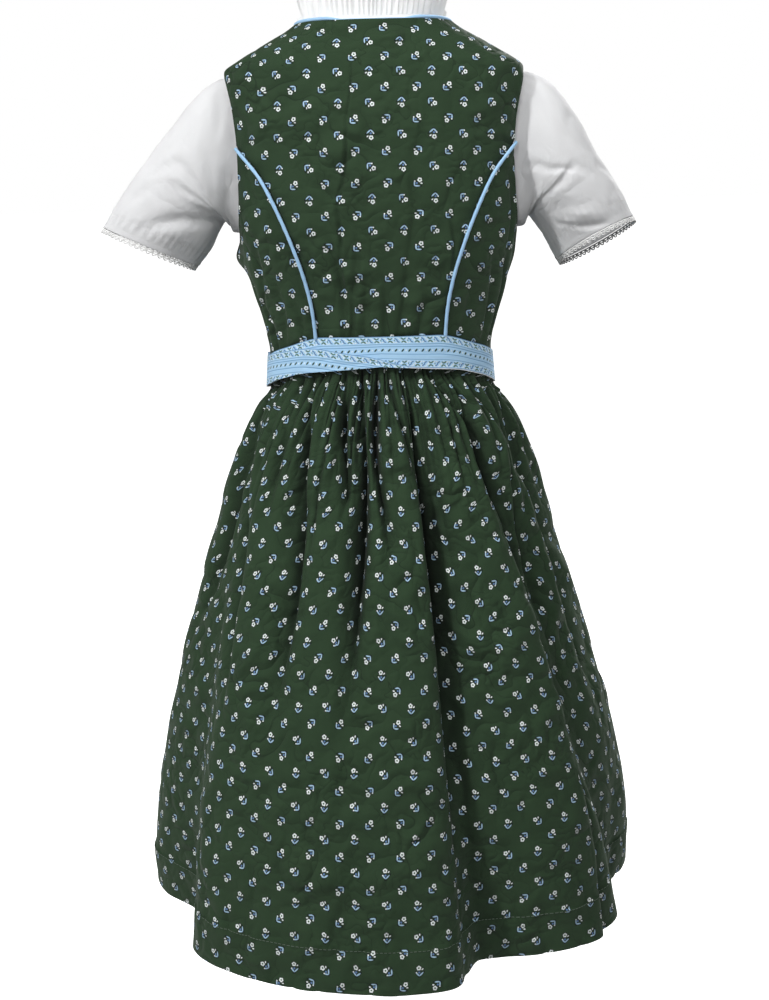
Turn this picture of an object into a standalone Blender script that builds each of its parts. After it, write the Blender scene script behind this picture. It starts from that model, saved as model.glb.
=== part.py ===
"""Dirndl dress: bodice and gathered skirt, with its blouse and its tied apron.

Metres, +Z up. The origin is the middle of the shoulder line, where the wearer holds
the garment up. The front looks along -Y and the wearer's left is +X.

Every piece of cloth is a closed wall through a grid of points. The grids come from
rings: a ring's half width and depths are read from a section table, and an angle runs
round it, 0 degrees at the centre back, +90 at the wearer's left side, 180 at the front.
"""
import math
from collections import namedtuple

import bmesh
import bpy
import numpy as np
from mathutils import Matrix, Vector

# ---------------------------------------------------------------- driving sizes
SEAM_GAP = 0.0003            # clearance between two pieces that are sewn together
WAIST_GAP = 0.0007           # more at the waist seam, whose edge curves
BODICE_CLOTH = 0.0016
SKIRT_CLOTH = 0.0015
BLOUSE_CLOTH = 0.0012
APRON_CLOTH = 0.0012
LACE_CLOTH = 0.0010
ROUNDNESS = 2.3              # 2 is an ellipse, more is squarer

TWIST_LIMIT = 0.0004         # a cell whose corners are further off a plane is split

RING_STEP = 15.0             # degrees between two bodice columns
NECK_FRONT = (90, 105, 116, 125, 136, 156, 180)   # columns at the front neck edge
SEAM_ROWS = 8                # rows along the princess seam
SIDE_SEAM_ROWS = 6
SIDE_BACK_COLUMNS = 6

NECK_HEIGHT = 0.034
SHOULDER_TIP_HEIGHT = -0.018
PRINCESS_TOP = -0.108        # where the princess seam runs into the armhole
ARMHOLE_LEVELS = (-0.202, -0.185, -0.148, PRINCESS_TOP, -0.086, -0.062, -0.042, -0.028)
SHOULDER_LEVELS = (-0.004, 0.014)

BACK_GATHERS = 20
FRONT_GATHERS = 14
POINTS_PER_GATHER = 4

BAND_STEP = 6.0              # degrees between two columns of a band or tie
BAND_LIFT = 0.0024           # of the band's top edge off the waist
BAND_FLARE = 0.0026          # its bottom edge lies this much further out
TIE_LAYER = 0.0019           # one tie over another, cloth and clearance
TIE_CROSSING_ANGLE = -20.0
APRON_STANDOFF = 0.0036      # apron's outer face above the skirt's
APRON_HALF_ANGLE = 58.0      # either side of the centre front
APRON_LENGTH_SHARE = 0.955   # of the skirt's length
APRON_HEM_EXTRA = 0.003      # it stands this much further off at the hem
APRON_ROWS = (0.0, 0.032, 0.085, 0.18, 0.35, 0.57, 0.80, 1.0)

BUTTON_RADIUS = 0.0065
BUTTON_TOP_RADIUS = 0.0056
BUTTON_SEAT = 0.0005         # clearance on the bodice, which is rounder than the button
BUTTON_THICKNESS = 0.0028
BUTTON_HEIGHTS = (-0.108, -0.158, -0.208, -0.258, -0.308)

PIPING_RADIUS = 0.0021
BOW_ANGLE = 150.0            # the bow is tied at the wearer's front left

# ---------------------------------------------------------------- section tables
TorsoRing = namedtuple("TorsoRing", "height half_width back_depth front_depth")
TORSO = (
    TorsoRing(-0.400, 0.1335, 0.0825, 0.0885),
    TorsoRing(-0.350, 0.1335, 0.0830, 0.0890),
    TorsoRing(-0.315, 0.1400, 0.0850, 0.0930),
    TorsoRing(-0.267, 0.1530, 0.0900, 0.1040),
    TorsoRing(-0.219, 0.1650, 0.0960, 0.1180),
    TorsoRing(-0.171, 0.1705, 0.0980, 0.1200),
    TorsoRing(-0.113, 0.1730, 0.0950, 0.1080),
    TorsoRing(-0.060, 0.1770, 0.0890, 0.0920),
    TorsoRing(-0.030, 0.1785, 0.0830, 0.0830),
    TorsoRing(SHOULDER_TIP_HEIGHT, 0.1755, 0.0800, 0.0790),
    TorsoRing(-0.008, 0.1615, 0.0765, 0.0750),
    TorsoRing(0.010, 0.1315, 0.0690, 0.0680),
    TorsoRing(NECK_HEIGHT, 0.0915, 0.0580, 0.0580),
    TorsoRing(0.045, 0.0840, 0.0540, 0.0540),
    TorsoRing(0.070, 0.0800, 0.0520, 0.0520),
)

SkirtRing = namedtuple("SkirtRing", "drop half_width back_depth front_depth")
SKIRT = (                    # drop: 0 at the waist seam, 1 at the hem
    SkirtRing(0.000, 0.1347, 0.0837, 0.0897),
    SkirtRing(0.030, 0.1357, 0.0847, 0.0907),
    SkirtRing(0.058, 0.1480, 0.0980, 0.1010),
    SkirtRing(0.098, 0.1640, 0.1170, 0.1150),
    SkirtRing(0.137, 0.1760, 0.1300, 0.1260),
    SkirtRing(0.215, 0.1950, 0.1510, 0.1450),
    SkirtRing(0.294, 0.2105, 0.1710, 0.1620),
    SkirtRing(0.414, 0.2340, 0.2010, 0.1860),
    SkirtRing(0.577, 0.2625, 0.2350, 0.2130),
    SkirtRing(0.741, 0.2875, 0.2650, 0.2350),
    SkirtRing(0.909, 0.3020, 0.2890, 0.2500),
    SkirtRing(1.000, 0.3025, 0.3000, 0.2550),
)

Edge = namedtuple("Edge", "angle height")     # angle from the centre back, either side
WAIST = (Edge(0, -0.346), Edge(40, -0.348), Edge(66, -0.3585), Edge(90, -0.374),
         Edge(130, -0.380), Edge(180, -0.382))
HEM = (Edge(0, -1.046), Edge(45, -1.034), Edge(90, -1.012), Edge(135, -1.016),
       Edge(180, -1.020))
BAND_TOP = (Edge(0, -0.327), Edge(40, -0.327), Edge(66, -0.341), Edge(90, -0.355),
            Edge(130, -0.361), Edge(180, -0.363))
BAND_BOTTOM = (Edge(0, -0.362), Edge(33, -0.366), Edge(51, -0.3690), Edge(66, -0.377),
               Edge(90, -0.3925), Edge(130, -0.399), Edge(180, -0.401))
DRESS_NECK = (Edge(0, NECK_HEIGHT), Edge(60, NECK_HEIGHT), Edge(90, 0.032),
              Edge(112, 0.021), Edge(124, -0.009), Edge(136, -0.050), Edge(158, -0.078),
              Edge(180, -0.085))
BLOUSE_NECK = (Edge(0, 0.040), Edge(60, 0.041), Edge(90, 0.041),
               Edge(112, 0.032), Edge(124, 0.010), Edge(136, -0.027), Edge(158, -0.051),
               Edge(180, -0.057))

SeamPoint = namedtuple("SeamPoint", "height across")
SEAM_WAIST_ANGLE = 33.2      # where the princess seam reaches the waist
PRINCESS_SEAM = (
    SeamPoint(-0.352, 0.0730), SeamPoint(-0.324, 0.0744), SeamPoint(-0.297, 0.0770),
    SeamPoint(-0.265, 0.0835), SeamPoint(-0.224, 0.0965), SeamPoint(-0.183, 0.1130),
    SeamPoint(-0.143, 0.1330), SeamPoint(PRINCESS_TOP, 0.1610),
)

Armhole = namedtuple("Armhole", "centre_y centre_z half_depth half_height")
DRESS_ARMHOLE = Armhole(-0.0075, -0.1150, 0.0475, 0.0970)
BLOUSE_ARMHOLE = Armhole(-0.0075, -0.1150, 0.0420, 0.0920)

SleeveRing = namedtuple("SleeveRing", "along across height half_across half_depth tilt")
SLEEVES = {                  # tilt: how far the ring has turned from upright
    "left": (
        SleeveRing(0.00, 0.1700, -0.1145, 0.0920, 0.0420, 3),
        SleeveRing(0.14, 0.1860, -0.1200, 0.0860, 0.0470, 10),
        SleeveRing(0.35, 0.2085, -0.1390, 0.0690, 0.0540, 28),
        SleeveRing(0.60, 0.2310, -0.1580, 0.0590, 0.0575, 54),
        SleeveRing(0.85, 0.2570, -0.1960, 0.0625, 0.0570, 66),
        SleeveRing(1.00, 0.2740, -0.2200, 0.0610, 0.0510, 66),
    ),
    "right": (
        SleeveRing(0.00, 0.1700, -0.1145, 0.0920, 0.0420, 3),
        SleeveRing(0.14, 0.1880, -0.1180, 0.0870, 0.0480, 9),
        SleeveRing(0.35, 0.2080, -0.1380, 0.0690, 0.0540, 26),
        SleeveRing(0.60, 0.2220, -0.1570, 0.0540, 0.0560, 50),
        SleeveRing(0.85, 0.2470, -0.1950, 0.0520, 0.0550, 61),
        SleeveRing(1.00, 0.2620, -0.2230, 0.0520, 0.0490, 63),
    ),
}
SLEEVE_COLUMNS = 20
SLEEVE_FRONT_DIP = {"left": 2.0, "right": 8.0}   # degrees, cuff's front edge hangs lower
LACE_SCALLOPS = 34
LACE_DEPTH = 0.0060
LACE_SCALLOP = 0.0022

RUFFLE_WAVES = 32
RUFFLE_HEIGHT = 0.034        # at the back; lower at the front
RUFFLE_FRONT_DROP = 0.22     # share of that height lost at the front
RUFFLE_GAP = 0.0006          # above the blouse's neck edge
RUFFLE_BASE_WAVE = 0.0006
RUFFLE_TOP_WAVE = 0.0042

# A fold is a trough that runs down the skirt. Its centre line and its depth are given at
# four drops; it falls steeply on its steep side and rises softly on the other.
Fold = namedtuple("Fold", "name drops angles depths steep_width soft_width steep_side")
FOLDS = (
    Fold("left lobe edge", (0.10, 0.40, 0.70, 1.00), (73, 68, 65, 67),
         (0.006, 0.018, 0.030, 0.050), 9, 13, -1),
    Fold("left groove", (0.06, 0.30, 0.55, 0.80), (43, 34, 32, 33),
         (0.005, 0.011, 0.007, 0.000), 4, 7, -1),
    Fold("left short groove", (0.04, 0.12, 0.20, 0.27), (27, 23, 19, 17),
         (0.000, 0.006, 0.007, 0.000), 4, 5, 1),
    Fold("centre groove", (0.04, 0.25, 0.50, 0.75), (16, 9, 11, 13),
         (0.005, 0.012, 0.007, 0.000), 4, 6, -1),
    Fold("centre short groove", (0.04, 0.15, 0.25, 0.36), (2, 4, 1, -2),
         (0.000, 0.007, 0.006, 0.000), 4, 5, 1),
    Fold("right of centre edge", (0.06, 0.30, 0.65, 1.00), (-22, -23, -24, -30),
         (0.006, 0.017, 0.032, 0.062), 7, 17, 1),
    Fold("right lobe edge", (0.10, 0.40, 0.70, 1.00), (-44, -58, -62, -78),
         (0.005, 0.028, 0.028, 0.020), 6, 12, 1),
    Fold("right short groove", (0.06, 0.14, 0.24, 0.36), (-76, -72, -68, -64),
         (0.000, 0.006, 0.006, 0.000), 4, 6, 1),
    Fold("front left side", (0.06, 0.35, 0.70, 1.00), (112, 114, 112, 114),
         (0.004, 0.014, 0.026, 0.040), 8, 13, 1),
    Fold("front left", (0.06, 0.35, 0.70, 1.00), (138, 142, 144, 143),
         (0.004, 0.012, 0.020, 0.032), 8, 14, -1),
    Fold("front centre", (0.06, 0.35, 0.70, 1.00), (172, 176, 174, 177),
         (0.003, 0.010, 0.018, 0.030), 9, 14, 1),
    Fold("front right", (0.06, 0.35, 0.70, 1.00), (-150, -146, -148, -147),
         (0.004, 0.013, 0.022, 0.034), 8, 13, 1),
    Fold("front right side", (0.06, 0.35, 0.70, 1.00), (-118, -116, -119, -117),
         (0.004, 0.014, 0.024, 0.038), 8, 13, -1),
)

SKIRT_DROPS = (0.0, 0.030, 0.058, 0.095, 0.150, 0.230, 0.35, 0.50, 0.67, 0.84, 1.0)
FRONT_DROPS = (0.0, 0.030, 0.060, 0.110, 0.200, 0.36, 0.57, 0.79, 1.0)


# ---------------------------------------------------------------- curves and rings
def smooth_curve(rows, x_column, y_column):
    """A function through a table's rows that never overshoots them (monotone cubic)."""
    x = np.array([getattr(row, x_column) for row in rows], float)
    y = np.array([getattr(row, y_column) for row in rows], float)
    return smooth_through(x, y)


def smooth_through(x, y):
    x = np.asarray(x, float)
    y = np.asarray(y, float)
    step = np.diff(x)
    slope = np.diff(y) / step
    tangent = np.zeros(len(x))
    tangent[0] = slope[0]
    tangent[-1] = slope[-1]
    for i in range(1, len(x) - 1):
        if slope[i - 1] * slope[i] > 0:
            tangent[i] = 2 * slope[i - 1] * slope[i] / (slope[i - 1] + slope[i])

    def value(at):
        at = np.clip(np.asarray(at, float), x[0], x[-1])
        i = np.clip(np.searchsorted(x, at) - 1, 0, len(x) - 2)
        t = (at - x[i]) / step[i]
        start = (1 + 2 * t) * (1 - t) ** 2 * y[i] + t * (1 - t) ** 2 * step[i] * tangent[i]
        end = t * t * (3 - 2 * t) * y[i + 1] + t * t * (t - 1) * step[i] * tangent[i + 1]
        return start + end
    return value


torso_half_width = smooth_curve(TORSO, "height", "half_width")
torso_back_depth = smooth_curve(TORSO, "height", "back_depth")
torso_front_depth = smooth_curve(TORSO, "height", "front_depth")
skirt_half_width = smooth_curve(SKIRT, "drop", "half_width")
skirt_back_depth = smooth_curve(SKIRT, "drop", "back_depth")
skirt_front_depth = smooth_curve(SKIRT, "drop", "front_depth")
seam_across = smooth_curve(PRINCESS_SEAM, "height", "across")
inner_neck_inset = smooth_through((-0.27, -0.06, -0.02, 0.02, 0.04),
                                 (0.0052, 0.0074, 0.0088, 0.0068, 0.0054))
gather_size = smooth_through((0, 0.03, 0.058, 0.098, 0.16, 0.24, 0.34, 1),
                             (0.0007, 0.0007, 0.0040, 0.0050, 0.0036, 0.0016, 0, 0))


def edge_height(edge):
    curve = smooth_curve(edge, "angle", "height")
    return lambda angle: curve(np.abs(wrap(angle)))


def wrap(angle):
    """The same direction, between -180 and 180 degrees."""
    return (np.asarray(angle, float) + 180.0) % 360.0 - 180.0


waist_height = edge_height(WAIST)
hem_height = edge_height(HEM)
band_top = edge_height(BAND_TOP)
band_bottom = edge_height(BAND_BOTTOM)
dress_neck = edge_height(DRESS_NECK)
blouse_neck = edge_height(BLOUSE_NECK)


def ring_radius(angle, half_width, back_depth, front_depth):
    turn = np.radians(angle)
    depth = np.where(np.cos(turn) > 0, back_depth, front_depth)
    along = np.abs(np.cos(turn) / depth) ** ROUNDNESS
    across = np.abs(np.sin(turn) / half_width) ** ROUNDNESS
    return (along + across) ** (-1 / ROUNDNESS)


def from_polar(angle, radius, height):
    turn = np.radians(angle)
    return np.stack(np.broadcast_arrays(radius * np.sin(turn), radius * np.cos(turn), height), -1)


def torso_radius(angle, height):
    radius = ring_radius(angle, torso_half_width(height), torso_back_depth(height),
                         torso_front_depth(height))
    return radius + underarm_point(angle, height)


def underarm_point(angle, height):
    """The side of the bodice stands out in a soft point below each armhole."""
    size = np.where(wrap(angle) > 0, 0.011, 0.003)
    around = (np.abs(wrap(angle)) - 97.0) / 11.0
    down = (height + 0.238) / 0.017
    return size * np.exp(-around ** 2 - down ** 2)


def torso_point(angle, height, out=0.0):
    return from_polar(angle, torso_radius(angle, height) + out, height)


ANGLE_PROBE = 0.4            # degrees and share or metres either side of a place,
LEVEL_PROBE = 0.002          # to measure how a surface lies there


def surface_normals(surface, angle, level):
    """Unit normals of a surface at its places, away from the garment's axis."""
    across = surface(angle + ANGLE_PROBE, level) - surface(angle - ANGLE_PROBE, level)
    up = surface(angle, level + LEVEL_PROBE) - surface(angle, level - LEVEL_PROBE)
    normal = np.cross(across, up)
    normal /= np.linalg.norm(normal, axis=-1, keepdims=True)
    at = surface(angle, level)
    outward = np.sum(normal[..., :2] * at[..., :2], axis=-1, keepdims=True)
    return np.where(outward < 0, -normal, normal)


def blouse_point(angle, height, out=0.0):
    """The blouse lies inside the bodice, set in along the bodice's own normals."""
    angle, height = np.broadcast_arrays(np.asarray(angle, float), np.asarray(height, float))
    inset = BODICE_CLOTH + inner_neck_inset(height) - out
    return torso_point(angle, height) - inset[..., None] * surface_normals(torso_point, angle, height)


def fold_depth(angle, drop):
    """How far the large folds press the skirt in at this place."""
    total = 0.0
    for fold in FOLDS:
        centre = smooth_through(fold.drops, fold.angles)(drop)
        depth = smooth_through(fold.drops, fold.depths)(drop)
        aside = wrap(angle - centre)
        steep = np.sign(aside) == fold.steep_side
        width = np.where(steep, fold.steep_width, fold.soft_width)
        total = total + depth * np.exp(-(aside / width) ** 2)
    return total


def uneven(angle):
    """Gathers are not all as wide: the shift of a place round the waist, in degrees."""
    turn = np.radians(angle)
    return 1.1 * np.sin(5 * turn + 0.4) + 0.8 * np.sin(13 * turn + 1.9)


def skirt_radius(angle, drop, gather):
    """Outer face; gather is where on a gather the place lies, from -1 to 1."""
    radius = ring_radius(angle, skirt_half_width(drop), skirt_back_depth(drop),
                         skirt_front_depth(drop))
    return radius + gather_size(drop) * gather - fold_depth(angle, drop)


def skirt_height(angle, drop):
    top = waist_height(angle) - WAIST_GAP
    return top + (hem_height(angle) - top) * drop


def skirt_point(angle, drop, gathers_round, out=0.0):
    gather = np.cos(np.radians(angle) * gathers_round)
    place = angle + uneven(angle) * np.sin(np.radians(angle) * 2) ** 2
    return from_polar(place, skirt_radius(place, drop, gather) + out, skirt_height(place, drop))


# ---------------------------------------------------------------- meshes
def new_material(name, colour, roughness, metallic=0.0):
    material = bpy.data.materials.new(name)
    material.use_nodes = True
    shader = material.node_tree.nodes["Principled BSDF"]
    shader.inputs["Base Color"].default_value = (*colour, 1.0)
    shader.inputs["Roughness"].default_value = roughness
    shader.inputs["Metallic"].default_value = metallic
    return material


def add_object(name, mesh, material):
    built = bpy.data.objects.new(name, mesh)
    bpy.context.scene.collection.objects.link(built)
    mesh.materials.append(material)
    mesh.shade_smooth()
    mesh.set_sharp_from_angle(angle=math.radians(50))
    return built


def signed_volume(points, faces):
    total = 0.0
    for face in faces:
        first = points[face[0]]
        for second, third in zip(face[1:-1], face[2:]):
            total += np.dot(first, np.cross(points[second], points[third]))
    return total / 6


def mesh_from(name, points, faces, material):
    if signed_volume(points, faces) < 0:
        faces = [tuple(reversed(face)) for face in faces]
    mesh = bpy.data.meshes.new(name)
    mesh.from_pydata([tuple(point) for point in points], [], faces)
    mesh.validate()
    return add_object(name, mesh, material)


def grid_normals(grid, closed, centre):
    """Unit normals of a grid of points, away from the centre line."""
    if closed:
        padded = np.concatenate([grid[:, -1:], grid, grid[:, :1]], axis=1)
        across = padded[:, 2:] - padded[:, :-2]
    else:
        across = np.gradient(grid, axis=1)
    up = np.gradient(grid, axis=0)
    normal = np.cross(across, up)
    normal /= np.linalg.norm(normal, axis=2, keepdims=True)
    outward = grid - centre
    if np.sum(normal * outward) < 0:
        normal = -normal
    return normal


def axis_centre(grid):
    """Points of the garment's own axis, level with each point of the grid."""
    centre = np.zeros_like(grid)
    centre[..., 2] = grid[..., 2]
    return centre


def cell_faces(cell, points):
    """One face for a flat cell, two triangles for a twisted one, so that both sides of
    the wall are split along the same diagonal and it keeps its thickness."""
    first, second, third, fourth = (points[corner] for corner in cell)
    normal = np.cross(second - first, third - first)
    twist = abs(np.dot(fourth - first, normal)) / np.linalg.norm(normal)
    if twist < TWIST_LIMIT:
        return [cell]
    return [cell[:3], (cell[0], cell[2], cell[3])]


def wall_between(name, outer, inner, material, closed=False):
    """A closed wall between two grids of points; a closed grid joins up with itself."""
    rows, columns = outer.shape[:2]
    points = np.concatenate([outer.reshape(-1, 3), inner.reshape(-1, 3)])
    back = rows * columns
    faces = []
    spans = columns if closed else columns - 1

    def at(row, column):
        return row * columns + column % columns

    for row in range(rows - 1):
        for column in range(spans):
            cell = (at(row, column), at(row, column + 1),
                    at(row + 1, column + 1), at(row + 1, column))
            for face in cell_faces(cell, points):
                faces.append(face)
                faces.append(tuple(back + corner for corner in reversed(face)))
    for column in range(spans):
        faces.append((back + at(0, column), back + at(0, column + 1),
                      at(0, column + 1), at(0, column)))
        last = rows - 1
        faces.append((at(last, column), at(last, column + 1),
                      back + at(last, column + 1), back + at(last, column)))
    if not closed:
        for row in range(rows - 1):
            faces.append((at(row, 0), at(row + 1, 0), back + at(row + 1, 0), back + at(row, 0)))
            end = columns - 1
            faces.append((back + at(row, end), back + at(row + 1, end),
                          at(row + 1, end), at(row, end)))
    return mesh_from(name, points, faces, material)


def cloth_wall(name, grid, thickness, material, closed=False, centre=None):
    """A wall of cloth whose outer face is the grid."""
    if centre is None:
        centre = axis_centre(grid)
    inner = grid - grid_normals(grid, closed, centre) * thickness
    return wall_between(name, grid, inner, material, closed)


def panel_wall(name, surface, places, thickness, material):
    """A wall of cloth on a surface; its normals are the surface's own, so that two
    panels that meet at a seam turn the same way there."""
    angle, level = places[..., 0], places[..., 1]
    grid = surface(angle, level)
    inner = grid - surface_normals(surface, angle, level) * thickness
    return wall_between(name, grid, inner, material)


def cord(name, path, radius, material, sides=6, closed=False):
    """A round cord along a path of points, with flat ends unless it is closed."""
    path = np.asarray(path)
    if closed:
        ahead = np.roll(path, -1, axis=0) - np.roll(path, 1, axis=0)
    else:
        ahead = np.gradient(path, axis=0)
    ahead /= np.linalg.norm(ahead, axis=1, keepdims=True)
    side = np.cross(ahead, np.array([0.0, 0.0, 1.0]))
    flat = np.linalg.norm(side, axis=1, keepdims=True)
    side = side / flat
    up = np.cross(side, ahead)
    turns = np.arange(sides) * 2 * math.pi / sides + math.pi / sides
    rings = (path[:, None, :] + radius * np.cos(turns)[None, :, None] * side[:, None, :]
             + radius * np.sin(turns)[None, :, None] * up[:, None, :])
    count = len(path)
    faces = []
    for ring in range(count if closed else count - 1):
        following = (ring + 1) % count
        for turn in range(sides):
            beside = (turn + 1) % sides
            faces.append((ring * sides + turn, following * sides + turn,
                          following * sides + beside, ring * sides + beside))
    if not closed:
        faces.append(tuple(range(sides)))
        faces.append(tuple(reversed(range((count - 1) * sides, count * sides))))
    return mesh_from(name, rings.reshape(-1, 3), faces, material)


def patch(bottom, top, left, right):
    """A grid of (angle, height) places filled in between its four edges (a Coons patch)."""
    bottom, top, left, right = (np.asarray(edge, float) for edge in (bottom, top, left, right))
    u = np.linspace(0, 1, len(bottom))[None, :, None]
    v = np.linspace(0, 1, len(left))[:, None, None]
    between_sides = (1 - u) * left[:, None, :] + u * right[:, None, :]
    between_ends = (1 - v) * bottom[None] + v * top[None]
    corners = ((1 - u) * (1 - v) * bottom[0] + u * (1 - v) * bottom[-1]
               + (1 - u) * v * top[0] + u * v * top[-1])
    return between_sides + between_ends - corners


# ---------------------------------------------------------------- edges of the bodice
def armhole_depth(armhole, height, side):
    """The armhole's y at a height; side is +1 on its back edge and -1 on its front."""
    level = np.clip((height - armhole.centre_z) / armhole.half_height, -1, 1)
    wide = np.sqrt(1 - level ** 2)
    return armhole.centre_y * wide ** 2 + side * armhole.half_depth * wide


def angle_where(measure, target, low, high):
    """The angle between low and high where a falling measure reaches its target."""
    low = np.full(np.shape(target), float(low))
    high = np.full(np.shape(target), float(high))
    for _ in range(40):
        middle = (low + high) / 2
        above = measure(middle) > target
        low = np.where(above, middle, low)
        high = np.where(above, high, middle)
    return (low + high) / 2


def armhole_angle(armhole, height, side, inset=0.0):
    depth = armhole_depth(armhole, height, side)

    def depth_at(angle):
        radius = torso_radius(angle, height) - inset
        return radius * np.cos(np.radians(angle))
    return angle_where(depth_at, depth, 20, 160)


def seam_angle(height):
    """The angle of the princess seam, from how far it lies from the centre back."""
    across = seam_across(height)

    def less_across(angle):
        return -torso_radius(angle, height) * np.sin(np.radians(angle))
    return angle_where(less_across, -across, 0, 90)


def steps(start, end, count):
    return np.linspace(start, end, count + 1)


def degrees_for(length, angle, height):
    """How many degrees a length along the ring takes up at a place."""
    return np.degrees(length / torso_radius(angle, height))


def princess_edge():
    """(angle, height) from the waist up the princess seam to the armhole."""
    heights = steps(waist_height(SEAM_WAIST_ANGLE), PRINCESS_TOP, SEAM_ROWS)
    return np.stack([seam_angle(heights), heights], -1)


def upper_edge(armhole, side, low, neck, inset=0.0):
    """(angle, height) from low up the armhole to the shoulder tip, then to the neck."""
    levels = np.array([level for level in ARMHOLE_LEVELS if level > low + SEAM_GAP])
    angles = armhole_angle(armhole, levels, side, inset)
    tip = armhole.centre_z + armhole.half_height
    shoulder = np.array([tip, *SHOULDER_LEVELS, neck])
    return np.concatenate([np.stack([angles, levels], -1),
                           np.stack([np.full(len(shoulder), 90.0), shoulder], -1)])


def pull_in(places, amount):
    """The same edge, a small length nearer the centre back than it was."""
    shift = degrees_for(amount, places[:, 0], places[:, 1])
    moved = places.copy()
    moved[:, 0] -= shift
    return moved


# ---------------------------------------------------------------- bodice
def bodice_back(material):
    upper = upper_edge(DRESS_ARMHOLE, 1, PRINCESS_TOP, float(dress_neck(90)))
    right = pull_in(np.concatenate([princess_edge(), upper]), SEAM_GAP / 2)
    left = right * np.array([-1, 1])
    columns = round(180 / RING_STEP)
    top_angles = steps(-right[-1, 0], right[-1, 0], columns)
    bottom_angles = steps(-right[0, 0], right[0, 0], columns)
    top = np.stack([top_angles, dress_neck(top_angles)], -1)
    bottom = np.stack([bottom_angles, waist_height(bottom_angles)], -1)
    places = patch(bottom, top, left, right)
    return panel_wall("bodice_back", torso_point, places, BODICE_CLOTH, material)


def bodice_side_back(side, material):
    """From the princess seam to the side seam, up to the armhole."""
    columns = SIDE_BACK_COLUMNS
    seam = pull_in(princess_edge(), -SEAM_GAP / 2)
    seam[-1, 1] -= 2 * SEAM_GAP
    armpit = DRESS_ARMHOLE.centre_z - DRESS_ARMHOLE.half_height
    side_angle = 90 - float(degrees_for(SEAM_GAP / 2, 90.0, armpit))
    side_heights = steps(waist_height(90), armpit, SEAM_ROWS)
    side_seam = np.stack([np.full(SEAM_ROWS + 1, side_angle), side_heights], -1)
    top_heights = armpit + (PRINCESS_TOP - armpit) * np.linspace(1, 0, columns + 1) ** 2
    top_angles = armhole_angle(DRESS_ARMHOLE, top_heights, 1)
    top = np.stack([top_angles, top_heights], -1)
    top[0] = seam[-1]
    top[-1] = side_seam[-1]
    bottom_angles = steps(seam[0, 0], side_angle, columns)
    bottom = np.stack([bottom_angles, waist_height(bottom_angles)], -1)
    seam[0, 1] = bottom[0, 1]
    places = patch(bottom, top, seam, side_seam)
    name = f"bodice_side_back_{side_name(side)}"
    return panel_wall(name, torso_point, places * (side, 1), BODICE_CLOTH, material)


def bodice_front(side, material):
    """From the side seam to the centre front, with the shoulder and half the neckline."""
    columns = round(90 / RING_STEP)
    armpit = DRESS_ARMHOLE.centre_z - DRESS_ARMHOLE.half_height
    heights = steps(waist_height(90), armpit, SIDE_SEAM_ROWS)
    side_seam = np.stack([np.full(len(heights), 90.0), heights], -1)
    upper = upper_edge(DRESS_ARMHOLE, -1, armpit, float(dress_neck(90)))
    outer = pull_in(np.concatenate([side_seam, upper]), -SEAM_GAP / 2)
    rows = len(outer) - 1
    front_angle = 180 - float(degrees_for(SEAM_GAP / 2, 180.0, -0.2))
    centre_heights = steps(waist_height(180), dress_neck(180), rows)
    centre = np.stack([np.full(rows + 1, front_angle), centre_heights], -1)
    bottom_angles = steps(outer[0, 0], front_angle, columns)
    bottom = np.stack([bottom_angles, waist_height(bottom_angles)], -1)
    top_angles = np.array([outer[-1, 0], *NECK_FRONT[1:-1], front_angle])
    top = np.stack([top_angles, dress_neck(top_angles)], -1)
    places = patch(bottom, top, outer, centre)
    name = f"bodice_front_{side_name(side)}"
    return panel_wall(name, torso_point, places * (side, 1), BODICE_CLOTH, material)


def side_name(side):
    return "left" if side > 0 else "right"


PIPING_TUCK = 0.004          # the piping's end goes this far below the ties' top edge
piping_lean = smooth_through((0, 32, 52, 180), (172, 165, 90, 90))    # degrees, by angle


def neck_ring():
    """The columns' angles all the way round the neck edge."""
    half = np.array([*np.arange(0, 90, RING_STEP), *NECK_FRONT], float)
    return np.concatenate([-half[:0:-1], half[:-1]])


def back_piping(side, material):
    """The cord sewn into the princess seam, lying on the seam's outer side."""
    seam = princess_edge()
    seam = seam[seam[:, 1] > float(band_top(SEAM_WAIST_ANGLE)) - PIPING_TUCK]
    lift = PIPING_RADIUS + 2 * SEAM_GAP
    path = torso_point(seam[:, 0] * side, seam[:, 1], lift)
    return cord(f"back_piping_{side_name(side)}", path, PIPING_RADIUS, material)


def neck_piping(material):
    """The cord round the neck edge. It lies behind the edge at the back and on it elsewhere."""
    angles = neck_ring()
    heights = dress_neck(angles)
    normals = surface_normals(torso_point, angles, heights)
    edge = torso_point(angles, heights) - normals * BODICE_CLOTH / 2
    along = np.roll(edge, -1, axis=0) - np.roll(edge, 1, axis=0)
    off_edge = np.cross(along, normals)
    off_edge /= np.linalg.norm(off_edge, axis=1, keepdims=True) * np.sign(off_edge[:, 2:])
    lean = np.radians(piping_lean(np.abs(angles)))[:, None]
    reach = PIPING_RADIUS + 2 * SEAM_GAP + BODICE_CLOTH / 2 * np.abs(np.cos(lean))
    path = edge + reach * (np.cos(lean) * normals + np.sin(lean) * off_edge)
    return cord("neck_piping", path, PIPING_RADIUS, material, closed=True)


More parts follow.
